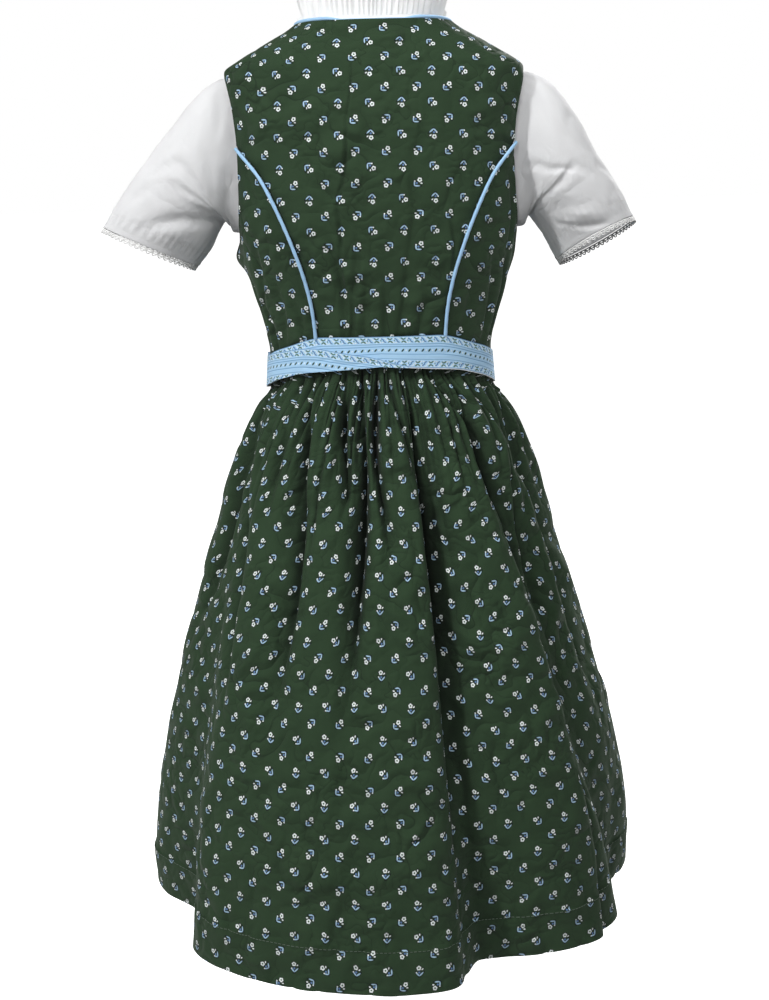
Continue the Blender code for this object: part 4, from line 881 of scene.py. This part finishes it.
def angle_where(measure, target, low, high):
    """The angle between low and high where a falling measure reaches its target."""
    low = np.full(np.shape(target), float(low))
    high = np.full(np.shape(target), float(high))
    for _ in range(40):
        middle = (low + high) / 2
        above = measure(middle) > target
        low = np.where(above, middle, low)
        high = np.where(above, high, middle)
    return (low + high) / 2


def armhole_angle(armhole, height, side, inset=0.0):
    def depth_at(angle):
        return (torso_radius(angle, height) - inset) * np.cos(np.radians(angle))
    return angle_where(depth_at, armhole_depth(armhole, height, side), 20, 160)


def seam_angle(height):
    """The angle of the princess seam, from how far it lies from the centre back."""
    def less_across(angle):
        return -torso_radius(angle, height) * np.sin(np.radians(angle))
    return angle_where(less_across, -seam_across(height), 0, 90)


def degrees_for(length, angle, height):
    return np.degrees(length / torso_radius(angle, height))


def princess_edge():
    """(angle, height) from the waist up the princess seam to the armhole."""
    heights = steps(waist_height(SEAM_WAIST_ANGLE), PRINCESS_TOP, 64)
    return together(seam_angle(heights), heights)


def upper_edge(armhole, side, low, neck, inset=0.0):
    """(angle, height) from low up the armhole to the shoulder tip, then to the neck."""
    start = math.acos(np.clip((low - armhole.centre_z) / armhole.half_height, -1, 1))
    levels = armhole.centre_z + armhole.half_height * np.cos(np.linspace(start, 0, 38)[1:-1])
    shoulder = np.linspace(armhole.centre_z + armhole.half_height, float(neck), 21)
    return np.concatenate([together(armhole_angle(armhole, levels, side, inset), levels),
                           together(90.0, shoulder)])


def pull_in(places, amount):
    """The same edge, a small length nearer the centre back than it was."""
    moved = places.copy()
    moved[:, 0] -= degrees_for(amount, places[:, 0], places[:, 1])
    return moved


def patch(bottom, top, left, right):
    """A grid of (angle, height) places filled in between its four edges (a Coons patch)."""
    u = np.linspace(0, 1, len(bottom))[None, :, None]
    v = np.linspace(0, 1, len(left))[:, None, None]
    between_sides = (1 - u) * left[:, None, :] + u * right[:, None, :]
    between_ends = (1 - v) * bottom[None] + v * top[None]
    corner = ((1 - u) * (1 - v) * bottom[0] + u * (1 - v) * bottom[-1]
              + (1 - u) * v * top[0] + u * v * top[-1])
    return between_sides + between_ends - corner


def level_edge(angles, height_of):
    return together(angles, height_of(angles))


def front_angles(first, last, count):
    """Angles along half the front's neck edge, closer together where it is steep."""
    return smooth_through(range(7), (first, 105, 116, 125, 136, 156, last))(steps(0, 6, count))


def neck_ring():
    """Angles all the way round the neck edge, closer together where it is steep."""
    half = smooth_through((0, 6, 7, 8, 9, 10, 11, 12), (0, 90, 105, 116, 125, 136, 156, 180))
    half = half(steps(0, 12, 110))
    return np.concatenate([-half[:0:-1], half[:-1]])


# ---- bodice
def torso_flat(angle, height):
    """Where a place lies on the flat cloth: right of the centre back, and up."""
    across = up = 0.0
    for share in np.arange(24) / 24:
        step = torso_point(angle * (share + 1 / 24), height) - torso_point(angle * share, height)
        across = across + np.linalg.norm(step, axis=-1)
        low, high = (-0.38 + (height + 0.38) * part for part in (share, share + 1 / 24))
        step = torso_point(angle, high) - torso_point(angle, low)
        up = up + np.linalg.norm(step, axis=-1)
    return together(-across * np.sign(angle), up)


def bodice_cloth(part, places, shift=(0.0, 0.0), turn=180.0):
    """One panel of the bodice, printed with its flowers hanging down."""
    angle, height = places[..., 0], places[..., 1]
    relief = crease_relief(angle, height, BODICE_CREASES, BODICE_SCALE)
    relief = relief + crumple(torso_point(angle, height), *BODICE_CRUMPLE)
    turn = math.radians(turn)
    turned = np.array([[math.cos(turn), math.sin(turn)], [-math.sin(turn), math.cos(turn)]])
    flat = (torso_flat(angle, height) + shift) @ turned
    shell(part, torso_point(angle, height, relief), flat, green)


def bodice_back():
    upper = upper_edge(DRESS_ARMHOLE, 1, PRINCESS_TOP, dress_neck(90))
    right = pull_in(np.concatenate([princess_edge(), upper]), SEAM_GAP / 2)
    top = level_edge(steps(-right[-1, 0], right[-1, 0], 230), dress_neck)
    bottom = level_edge(steps(-right[0, 0], right[0, 0], 230), waist_height)
    bodice_cloth("bodice_back", patch(bottom, top, right * (-1, 1), right), (0.006, 0.004))


def bodice_side_back(side):
    """From the princess seam to the side seam, up to the armhole."""
    seam = pull_in(princess_edge(), -SEAM_GAP / 2)
    seam[-1, 1] -= 2 * SEAM_GAP
    low = armpit(DRESS_ARMHOLE)
    side_angle = 90 - float(degrees_for(SEAM_GAP / 2, 90.0, low))
    side_seam = together(side_angle, steps(waist_height(90), low, len(seam) - 1))
    top_heights = low + (PRINCESS_TOP - low) * np.linspace(1, 0, 81) ** 2
    top = together(armhole_angle(DRESS_ARMHOLE, top_heights, 1), top_heights)
    top[0], top[-1] = seam[-1], side_seam[-1]
    bottom = level_edge(steps(seam[0, 0], side_angle, 80), waist_height)
    seam[0, 1] = bottom[0, 1]
    places = patch(bottom, top, seam, side_seam) * (side, 1)
    shift = (0.011, 0.015) if side > 0 else (-0.013, 0.009)
    bodice_cloth(f"bodice_side_back_{side_name(side)}", places, shift, 180 + 7 * side)


def bodice_front(side):
    """From the side seam to the centre front, with the shoulder and half the neckline."""
    low = armpit(DRESS_ARMHOLE)
    side_seam = together(90.0, steps(waist_height(90), low, 46))
    upper = upper_edge(DRESS_ARMHOLE, -1, low, dress_neck(90))
    outer = pull_in(np.concatenate([side_seam, upper]), -SEAM_GAP / 2)
    front_angle = 180 - float(degrees_for(SEAM_GAP / 2, 180.0, -0.2))
    centre = together(front_angle, steps(waist_height(180), dress_neck(180), len(outer) - 1))
    top_angles = front_angles(90, front_angle, 60)
    top_angles[0] = outer[-1, 0]
    bottom = level_edge(steps(outer[0, 0], front_angle, 60), waist_height)
    places = patch(bottom, level_edge(top_angles, dress_neck), outer, centre) * (side, 1)
    bodice_cloth(f"bodice_front_{side_name(side)}", places, (0.004 * side, 0.010))


def neck_piping():
    """The cord round the neck edge. It lies behind the edge at the back and on it elsewhere."""
    angles = neck_ring()
    normals = torso_normals(angles, dress_neck(angles))
    edge = torso_point(angles, dress_neck(angles)) - normals * BODICE_CLOTH / 2
    along = np.roll(edge, -1, axis=0) - np.roll(edge, 1, axis=0)
    off_edge = unit(np.cross(along, normals))
    off_edge *= np.sign(off_edge[:, 2:])
    lean = smooth_through((0, 32, 52, 180), (172, 165, 90, 90))(np.abs(angles))
    lean = np.radians(lean)[:, None]
    reach = PIPING_RADIUS + 2 * SEAM_GAP + BODICE_CLOTH / 2 * np.abs(np.cos(lean))
    path = edge + reach * (np.cos(lean) * normals + np.sin(lean) * off_edge)
    form = tube(path, PIPING_RADIUS, 10, closed=True)
    dressed("neck_piping_cord", *form, piping, "neck_piping")


def back_piping(side):
    seam = princess_edge()
    seam = seam[seam[:, 1] > float(band_top(SEAM_WAIST_ANGLE)) - 0.004]
    path = torso_point(seam[:, 0] * side, seam[:, 1], PIPING_RADIUS + 2 * SEAM_GAP)
    form = tube(path, PIPING_RADIUS * (1 + 0.06 * np.sin(np.arange(len(path)) * 1.7)), 10)
    name = f"back_piping_{side_name(side)}"
    dressed(name + "_cord", *form, piping, name)


def button(number, height):
    """A plain domed pewter button with a raised rim."""
    above = Vector(torso_point(180.0, height + BUTTON_RADIUS))
    slope = (above - Vector(torso_point(180.0, height - BUTTON_RADIUS))).normalized()
    outward = np.array(Vector((1, 0, 0)).cross(slope).normalized())
    outward *= -np.sign(outward[1])
    seat = torso_point(180.0, height, 0.0005)
    turns = np.arange(40) * math.pi / 20
    ring = np.cos(turns)[:, None] * (1, 0, 0) + np.sin(turns)[:, None] * np.cross(outward, (1, 0, 0))
    rings = np.array([seat + BUTTON_RADIUS * (up * outward + wide * ring)
                      for up, wide in BUTTON_PROFILE])
    name = f"button_{number}"
    dressed(name + "_metal", *skin(rings, np.zeros((len(rings), 41, 2))), pewter, name)


# ---- skirt and apron
def gathered_flat(grid):
    """Places on the flat cloth. At the waist much of the cloth is hidden in the gathers."""
    step = np.linalg.norm(np.diff(grid, axis=1), axis=2)
    across = np.concatenate([np.zeros((len(grid), 1)), np.cumsum(step, axis=1)], axis=1)
    across -= across[:, across.shape[1] // 2][:, None]
    whole = across[:, -1] - across[:, 0]
    step = np.diff(grid, axis=0)
    down = np.sqrt(step[..., 2] ** 2 + 0.3 * np.sum(step[..., :2] ** 2, axis=2))
    down = np.concatenate([np.zeros((1, grid.shape[1])), np.cumsum(down, axis=0)])
    return together(-across * ((whole[-1] / whole) ** 0.45)[:, None], -down)


def hem_line(angle):
    """The drop at which the turned-up hem ends."""
    return 1 - HEM_DEPTH / (waist_height(angle) - hem_height(angle))


def skirt_cloth(part, start, end, gathers, columns, rows, shift):
    half = 0.01                    # degrees: the side seams are closed
    angle = steps(start + half, end - half, columns)
    line = hem_line(angle)
    upper = line * np.linspace(0, 1, rows)[:, None] ** 1.2
    lower = line + (1 - line) * np.array([0.012, 0.03, 0.05, 0.25, 0.5, 0.75, 0.97, 1.0])[:, None]
    drop = np.concatenate([upper, lower])
    angle = np.broadcast_to(angle, drop.shape)
    turned_up = 0.0014 * np.clip((drop - line) / 0.0025, 0, 1)
    grid = skirt_grid(angle, drop, gathers * 360 / (end - start), turned_up)
    shell(part, grid, gathered_flat(grid) + shift, green)


def apron_stand(drop):
    return APRON_STANDOFF + APRON_HEM_EXTRA * drop


def apron_cloth():
    column = 180 / (FRONT_GATHERS * 4)
    half = round(APRON_HALF_ANGLE / column) * column
    angle = steps(180 - half, 180 + half, 140)
    waist, hem = waist_height(angle), hem_height(angle)
    first = (waist - band_bottom(angle)) / (waist - hem) + 0.0006
    drop = first + (APRON_LENGTH_SHARE - first) * np.linspace(0, 1, 91)[:, None] ** 1.2
    angle = np.broadcast_to(angle, drop.shape)
    grid = skirt_grid(angle, drop, FRONT_GATHERS * 2, apron_stand(drop))
    shell("apron_panel", grid, gathered_flat(grid), apron_blue, name="apron_cloth")


# ---- band, ties and bow
def same(value):
    """A measure that is the same all round."""
    return lambda angle: np.full(np.shape(angle), value)


def band_point(angle, share, layer=0.0):
    """On the band round the waist: share 0 is its top edge, 1 its bottom edge."""
    height = band_top(angle) + (band_bottom(angle) - band_top(angle)) * share
    at_top = torso_radius(angle, band_top(angle)) + BAND_LIFT
    at_waist = torso_radius(angle, waist_height(angle)) + BAND_LIFT + BAND_FLARE
    return from_polar(angle, at_top + (at_waist - at_top) * share + layer, height)


def band_cloth(part, first, last, top, layer, material):
    """A length of band between two angles; top is where its upper edge lies, as a share."""
    angle = steps(first, last, round(abs(last - first) / 0.9))
    share = top(angle) + (1 - top(angle)) * np.linspace(0, 1, 25)[:, None]
    angle = np.broadcast_to(angle, share.shape)
    relief = crease_relief(angle, share, TIE_CREASES, TIE_SCALE)
    grid = band_point(angle, share, layer(angle) + relief)
    along = lengths_along(grid[0]) * np.sign(first - last)
    shell(part, grid, together(along, (share - top(angle)) * -TIE_WIDTH), material)


def bow_frame():
    """Origin on the ties' outer face, with the directions along them, up and outward."""
    def on_tie(turn, share):
        return Vector(band_point(BOW_ANGLE + turn, share, TIE_LAYER + 2 * SEAM_GAP))
    origin = on_tie(0, 0.5)
    along = on_tie(6.0, 0.5) - on_tie(-6.0, 0.5)
    along.z = 0
    along.normalize()
    outward = along.cross(on_tie(0, 0) - on_tie(0, 1)).normalized()
    if outward.dot(origin) < 0:
        outward = -outward
    up = outward.cross(along)
    if up.z < 0:
        up = -up
    return (np.array(v) for v in (origin, along, up, outward))


def bow_knot():
    """A turn of the tie wrapped round its own middle, creased where it is pulled tight."""
    origin, along, up, outward = bow_frame()
    place = np.linspace(-1, 1, 41)[:, None]
    turn = np.arange(64) * math.pi / 32
    round_off = np.clip(1 - np.abs(place) ** 6, 0.02, 1) ** 0.5
    crease = 1 - 0.10 * np.abs(np.sin(place * 5.2 + 0.7 * np.sin(turn) + 0.4)) ** 6
    high, deep = (np.sign(way) * np.abs(way) ** 0.7 * size / 2
                  for way, size in ((np.sin(turn), KNOT_HEIGHT), (np.cos(turn), KNOT_DEPTH)))
    size = round_off * crease
    rings = (origin + (place * KNOT_LENGTH / 2)[..., None] * along
             + (high * (0.9 + 0.1 * place ** 2) * size)[..., None] * up
             + (KNOT_DEPTH / 2 + deep * size)[..., None] * outward)
    flat = together(place * 0.020, np.arange(65) * 0.0016)
    dressed("bow_knot_cloth", *skin(rings, flat), tie, "bow_knot")


def bow_loop(side):
    """One loop of the bow: a band that goes out along the waist and comes back."""
    origin, along, up, outward = bow_frame()
    turn = np.arange(96) * math.pi / 48
    reach = (1 - np.cos(turn)) / 2
    across = np.linspace(-0.5, 0.5, 21)[:, None]
    swell = 0.0058 + 0.0052 * reach
    pinch = 0.0011 * np.cos(across * 17 + side) * (1 - reach) ** 2 * np.sign(np.sin(turn))
    out = KNOT_DEPTH / 2 + 0.004 * reach + swell * np.sin(turn) - 0.006 * reach ** 2 + pinch
    out = out + 0.0016 * np.cos(across * 5 + 0.6 * side) * reach * (1 - reach) * 4
    distance = KNOT_LENGTH / 2 + 2 * SEAM_GAP + LOOP_REACH * reach
    level = across * LOOP_WIDTH * (0.62 + 0.38 * np.sqrt(reach)) + 0.006 * reach
    grid = (origin + side * distance[None, :, None] * along + level[..., None] * up
            + out[..., None] * outward)
    middle = origin + side * distance.mean() * along + out.mean() * outward
    centre = np.broadcast_to(middle, grid.shape).copy()
    centre[..., 2] = grid[..., 2]
    flat = together(np.arange(97) / 96 * LOOP_CLOTH, across * TIE_WIDTH - TIE_WIDTH / 2)
    shell(f"bow_loop_{side_name(-side)}", grid, flat, tie, True, centre)


def bow_tail(side):
    """A free end that hangs from the knot over the apron."""
    waist, hem = waist_height(BOW_ANGLE), hem_height(BOW_ANGLE)
    start = float((waist - band_bottom(BOW_ANGLE)) / (waist - hem))
    drop = (start + (TAIL_END - start) * np.linspace(0, 1, 91) ** 1.3)[:, None]
    width = smooth_through((0.02, 0.15, 1), (0.011, TIE_WIDTH, TIE_WIDTH))(drop)
    half_angle = np.degrees(width / 2 / skirt_radius(BOW_ANGLE, drop, 1.0))
    spread = smooth_through((0.02, 0.15, 0.30, TAIL_END), (4.2, 9.8, 8.2, 7.6))(drop)
    clear = smooth_through((0.02, 0.06, 0.20, 1), (0.0006, 0.0010, 0.0024, 0.0024))(drop)
    across = np.linspace(-1, 1, 25)
    angle = BOW_ANGLE + side * spread + across * half_angle
    drop = np.broadcast_to(drop, angle.shape)
    ripple = 0.0014 * np.cos(across * math.pi * 1.5 + side) * drop / TAIL_END
    pinch = 0.0007 * np.cos(across * 14) * np.clip(1 - (drop - start) / 0.10, 0, 1)
    out = apron_stand(drop) + 0.0012 + clear + ripple + pinch + skirt_relief(angle, drop)
    grid = from_polar(angle, skirt_radius(angle, drop, 1.0) + out, skirt_height(angle, drop))
    grid[0, :, 2] = band_bottom(angle[0]) - SEAM_GAP
    flat = together(-lengths_along(grid[:, 12])[:, None], (across - 1) * TIE_WIDTH / 2)
    shell(f"bow_tail_{side_name(-side)}", grid, flat, tie)


# ---- blouse
def blouse_cloth(part, side):
    """The back (side 1) or the front (side -1), between its two side seams."""
    low = armpit(BLOUSE_ARMHOLE)
    seam = together(90.0, steps(BLOUSE_HEM, low, 12))
    upper = upper_edge(BLOUSE_ARMHOLE, side, low, blouse_neck(90), BLOUSE_INSET)
    first = pull_in(np.concatenate([seam, upper]), side * SEAM_GAP / 2)
    if side > 0:
        first, last = first * (-1, 1), first
        top_angles = steps(first[-1, 0], last[-1, 0], 80)
    else:
        last = first * (-1, 1) + (360, 0)
        half = front_angles(first[-1, 0], 180, 48)
        top_angles = np.concatenate([half, 360 - half[-2::-1]])
    bottom = together(steps(first[0, 0], last[0, 0], len(top_angles) - 1), BLOUSE_HEM)
    places = patch(bottom, level_edge(top_angles, blouse_neck), first, last)
    angle, height = places[..., 0], places[..., 1]
    relief = crumple(torso_point(angle, height), *BLOUSE_CRUMPLE)
    shell(part, blouse_point(angle, height, relief), torso_flat(wrap(angle), height), white)


def armhole_ring(turn):
    """The blouse's armhole edge, where the sleeve starts."""
    heights = BLOUSE_ARMHOLE.centre_z + BLOUSE_ARMHOLE.half_height * np.cos(turn)
    angles = [armhole_angle(BLOUSE_ARMHOLE, np.array([height]), 1 if way >= 0 else -1,
                            BLOUSE_INSET)[0] for height, way in zip(heights, np.sin(turn))]
    return blouse_point(np.array(angles), heights)


def sleeve_rings(side, columns, along):
    """Rings of a sleeve at shares from the armhole seam (0) to the cuff (1)."""
    share = np.asarray(along, float)[:, None]
    turn = np.arange(columns)[None, :] * 2 * math.pi / columns
    across, height, half_across, half_depth, tilt = (
        smooth_curve(SLEEVES[side_name(side)], "along", name)(share)
        for name in SLEEVE_RING.split()[1:])
    tilt = np.radians(tilt)
    dip = np.radians(SLEEVE_FRONT_DIP[side_name(side)] * share)
    up = together(np.sin(tilt), 0.0, np.cos(tilt))
    deep = together(0.0, np.cos(dip), np.sin(dip))
    centre = together(across, BLOUSE_ARMHOLE.centre_y - 0.004 * share, height)
    ring = (centre + (half_across * np.cos(turn))[..., None] * up
            + (half_depth * np.sin(turn))[..., None] * deep)
    start = armhole_ring(turn[0])[None] + together(0.0006 + 0.10 * share, 0.0, 0.0)
    blend = np.clip(share / 0.30, 0, 1)[..., None]
    blend = blend * blend * (3 - 2 * blend)
    return ((1 - blend) * start + blend * ring) * (side, 1, 1)


def sleeve_cloth(side):
    share = steps(0, 1, 80)[:, None]
    grid = sleeve_rings(side, SLEEVE_COLUMNS, share[:, 0])
    middle = grid.mean(axis=1, keepdims=True)
    turn = np.arange(SLEEVE_COLUMNS) * 360 / SLEEVE_COLUMNS
    round_it = np.radians(turn)
    head = np.clip(1 - share / 0.22, 0, 1) * np.cos(round_it).clip(0) ** 2
    cuff = np.clip((share - 0.80) / 0.10, 0, 1) * np.clip((0.975 - share) / 0.05, 0, 1)
    relief = (crease_relief(turn, share, SLEEVE_CREASES[side_name(side)], SLEEVE_SCALE)
              + 0.0011 * head * np.cos(round_it * 47)
              + 0.0005 * cuff * np.cos(round_it * 38 + 3 * np.sin(np.radians(turn * 3)))
              - 0.0007 * np.exp(-((share - CUFF_SEAM) / 0.006) ** 2)
              + 0.0006 * np.exp(-((share - 0.99) / 0.010) ** 2))
    relief = relief * np.clip(share / 0.03, 0, 1)
    relief = relief + crumple(grid, *SLEEVE_CRUMPLE) * np.clip(share / 0.05, 0, 1)
    grid = grid + relief[..., None] * unit(grid - middle)
    flat = together(np.arange(SLEEVE_COLUMNS + 1) / SLEEVE_COLUMNS * 0.36, -share * 0.16)
    shell(f"sleeve_{side_name(side)}", grid, flat, white, True, np.broadcast_to(middle, grid.shape))


def cuff_frame(side, count):
    """Points round the cuff's edge, and the directions on along the arm and in to its middle."""
    cuff = sleeve_rings(side, count, (0.98, 1.0))
    ahead = unit(cuff[1].mean(axis=0) - cuff[0].mean(axis=0))
    inward = unit(cuff[1].mean(axis=0) - cuff[1])
    return cuff[1] + inward * 0.0006 + ahead * 0.0007, ahead, inward


def sleeve_lace(side):
    """A narrow braid of two twisted threads with a row of small open loops below it."""
    count = LACE_SCALLOPS * 16
    edge, ahead, inward = cuff_frame(side, count)
    twist = np.arange(count) * 2 * math.pi / 8
    threads = [tube(edge + ahead * (0.0009 + 0.00055 * np.cos(twist + phase)[:, None])
                    + inward * 0.00030 * np.sin(twist + phase)[:, None], 0.00052, 6, True, ahead)
               for phase in (0, math.pi)]
    arc = np.linspace(0.0, 1.0, 11)
    for scallop in range(LACE_SCALLOPS):
        place = (scallop * 16 + arc * 15.2) % count
        before = place.astype(int)
        part = (place - before)[:, None]
        base = edge[before] * (1 - part) + edge[(before + 1) % count] * part
        for reach in (0.0048, 0.0022):
            depth = 0.0012 + reach * np.sin(arc * math.pi)[:, None] ** 0.6
            threads.append(tube(base + ahead * depth, 0.00075, 6, up=inward[before[5]]))
    name = f"sleeve_lace_{side_name(side)}"
    dressed(name + "_thread", *joined(threads), lace, name)


def cuff_stitches(side):
    """The line of stitches that holds the cuff's hem."""
    ring = sleeve_rings(side, CUFF_STITCHES * 4, (CUFF_SEAM,))[0]
    ring = ring + unit(ring - ring.mean(axis=0)) * 0.00005
    threads = [tube(ring[k * 4:k * 4 + 3], 0.00030, 4) for k in range(CUFF_STITCHES)]
    dressed(f"cuff_stitches_{side_name(side)}", *joined(threads), lace)


def collar_ruffle():
    """A pleated ruffle that stands up round the blouse's neck."""
    columns = RUFFLE_PLEATS * 10
    angle = np.arange(columns) * 360 / columns
    ring = neck_ring()
    edge = blouse_point(ring, blouse_neck(ring))
    base = np.stack([np.interp(angle, ring, edge[:, axis], period=360) for axis in range(3)], -1)
    turn = np.radians(angle)
    front = (1 - np.cos(turn)) / 2
    outward = from_polar(angle, 1.0, 0.0)
    share = np.linspace(0, 1, 15)[:, None]
    phase = turn * RUFFLE_PLEATS + 1.1 * np.sin(turn * 9) + 0.7 * np.sin(turn * 23 + 1)
    uneven_size = 0.75 + 0.25 * np.sin(turn * 17 + 0.5) * np.sin(turn * 5)
    wave = np.sin(phase + 1.3 * share) + 0.25 * np.sin(2 * phase + 0.6)
    size = (0.0004 + 0.0024 * share ** 0.6) * uneven_size
    height = RUFFLE_HEIGHT * (1 - RUFFLE_FRONT_DROP * front)
    out = (0.004 + 0.006 * front) * share + size * wave
    grid = base[None] + outward[None] * out[..., None]
    grid[..., 2] = base[:, 2] + 0.0006 + height * share * (1 - 0.03 * np.sin(phase * 0.5))
    flat = together(np.arange(columns + 1) / columns * 1.25, share * 0.034)
    shell("collar_ruffle", grid, flat, frill, True, thickness=0.0006)


def hem_stitches():
    """The blind stitches that hold the turned-up hem, all round the skirt."""
    threads = []
    for start, gathers, count in ((-90, BACK_GATHERS, 190), (90, FRONT_GATHERS, 140)):
        angle = steps(start + 1, start + 179, count * 3)[None]
        line = skirt_grid(angle, hem_line(angle) + 0.003, gathers * 2, 0.0016)[0]
        threads += [tube(line[k * 3:k * 3 + 3], 0.00045, 4) for k in range(count)]
    dressed("hem_stitches", *joined(threads), green_thread)


# ---- the whole garment
bodice_back()
for side in (1, -1):
    for make in (bodice_side_back, bodice_front, back_piping, sleeve_cloth, sleeve_lace,
                 cuff_stitches, bow_loop, bow_tail):
        make(side)
neck_piping()
for number, height in enumerate(BUTTON_HEIGHTS, start=1):
    button(number, height)
skirt_cloth("skirt_back", -90, 90, BACK_GATHERS, 430, 103, (0.009, 0.0))
skirt_cloth("skirt_front", 90, 270, FRONT_GATHERS, 300, 66, (0.020, 0.011))
hem_stitches()
apron_cloth()
band_cloth("apron_waistband", 180 - APRON_HALF_ANGLE, 180 + APRON_HALF_ANGLE, same(0.06),
           same(0.0), apron_blue)
band_cloth("tie_from_left", 180 - APRON_HALF_ANGLE - 0.3, BOW_ANGLE - 360 + 0.3, same(0.0),
           smooth_through((-220, -118, -96, 180), (TIE_LAYER, TIE_LAYER, 0, 0)), tie)
band_cloth("tie_from_right", TIE_CROSSING_ANGLE, BOW_ANGLE - 0.3,
           smooth_through((-22, -8, 10, 22, 41, 66, 88, 180),
                          (0.95, 0.85, 0.63, 0.53, 0.34, 0.12, 0.0, 0.0)), same(TIE_LAYER), tie)
bow_knot()
blouse_cloth("blouse_back", 1)
blouse_cloth("blouse_front", -1)
collar_ruffle()


# ---- camera, light and floor
CAMERA_PLACE = (0.0, 2.10, -0.14)
CAMERA_DOWN = math.radians(10.7)
CAMERA_LEAN = math.radians(1.4)
CAMERA_LENS = 62.24          # millimetres, on a 36 mm sensor
FLOOR_HEIGHT = -1.26
FLOOR_REACH = 60.0
LIGHTS = (                   # name, place, target, size and watts
    ("key", (2.3, 1.8, 1.9), (0, 0, -0.45), 0.30, 92),
    ("camera_side", (0.6, 2.6, 0.7), (0, 0, -0.45), 0.8, 19),
    ("fill", (-0.9, 0.8, 0.85), (-0.2, 0, -0.2), 0.5, 10),
    ("front", (-1.4, -2.6, 1.2), (0, 0, -0.5), 0.9, 90),
)


def camera():
    """It looks along -Y at the dress's back, a little down and leaning a little."""
    right = Vector((-1, 0, 0))
    up = Vector((0, -math.sin(CAMERA_DOWN), math.cos(CAMERA_DOWN)))
    lean_right = right * math.cos(CAMERA_LEAN) - up * math.sin(CAMERA_LEAN)
    lean_up = up * math.cos(CAMERA_LEAN) + right * math.sin(CAMERA_LEAN)
    made = added("camera", bpy.data.cameras.new("camera"))
    made.data.lens = CAMERA_LENS
    made.data.sensor_width = 36.0
    made.data.clip_start = 0.05
    pose = Matrix((lean_right, lean_up, lean_right.cross(lean_up))).transposed().to_4x4()
    pose.translation = Vector(CAMERA_PLACE)
    made.matrix_world = pose
    bpy.context.scene.camera = made


def area_light(name, place, target, size, watts):
    data = bpy.data.lights.new(name, "AREA")
    data.shape = "DISK"
    data.size = size
    data.energy = watts
    made = added(name, data)
    direction = Vector(target) - Vector(place)
    made.matrix_world = direction.to_track_quat("-Z", "Y").to_matrix().to_4x4()
    made.location = place


def studio():
    for light in LIGHTS:
        area_light(*light)
    room = Graph(bpy.data.worlds.new("studio"), "Background")
    bpy.context.scene.world = room.owner
    way = room.node("ShaderNodeTexCoord").outputs["Generated"]
    height = room.node("ShaderNodeSeparateXYZ", {0: way}).outputs[2]
    sky = room.node("ShaderNodeMapRange", {      # the room's light: most from above
        "From Min": -1.0, "To Min": 0.02, "To Max": 0.26, "Value": height}).outputs[0]
    seen = room.node("ShaderNodeLightPath").outputs["Is Camera Ray"]
    strength = room.node("ShaderNodeMix", {0: seen, 2: sky, 3: 1.0})   # on a white backdrop
    room.fill(room.shader, {"Strength": strength.outputs[0], "Color": (1, 1, 1, 1)})
    graph = new_material("pale_floor", 0.9)
    graph.fill(graph.shader, {"Base Color": (0.80, 0.80, 0.80, 1), "Emission Color": (1, 1, 1, 1),
                              "Emission Strength": 1.0})
    mesh = bpy.data.meshes.new("floor")
    mesh.from_pydata([(x * FLOOR_REACH, y * FLOOR_REACH, FLOOR_HEIGHT)
                      for x, y in ((-1, -1), (1, -1), (1, 1), (-1, 1))], [], [(0, 1, 2, 3)])
    mesh.materials.append(graph.owner)
    floor = added("floor", mesh)
    floor.visible_diffuse = False      # a white floor that doesn't light the cloth from below
    bpy.context.scene.view_settings.view_transform = "Standard"


camera()
studio()
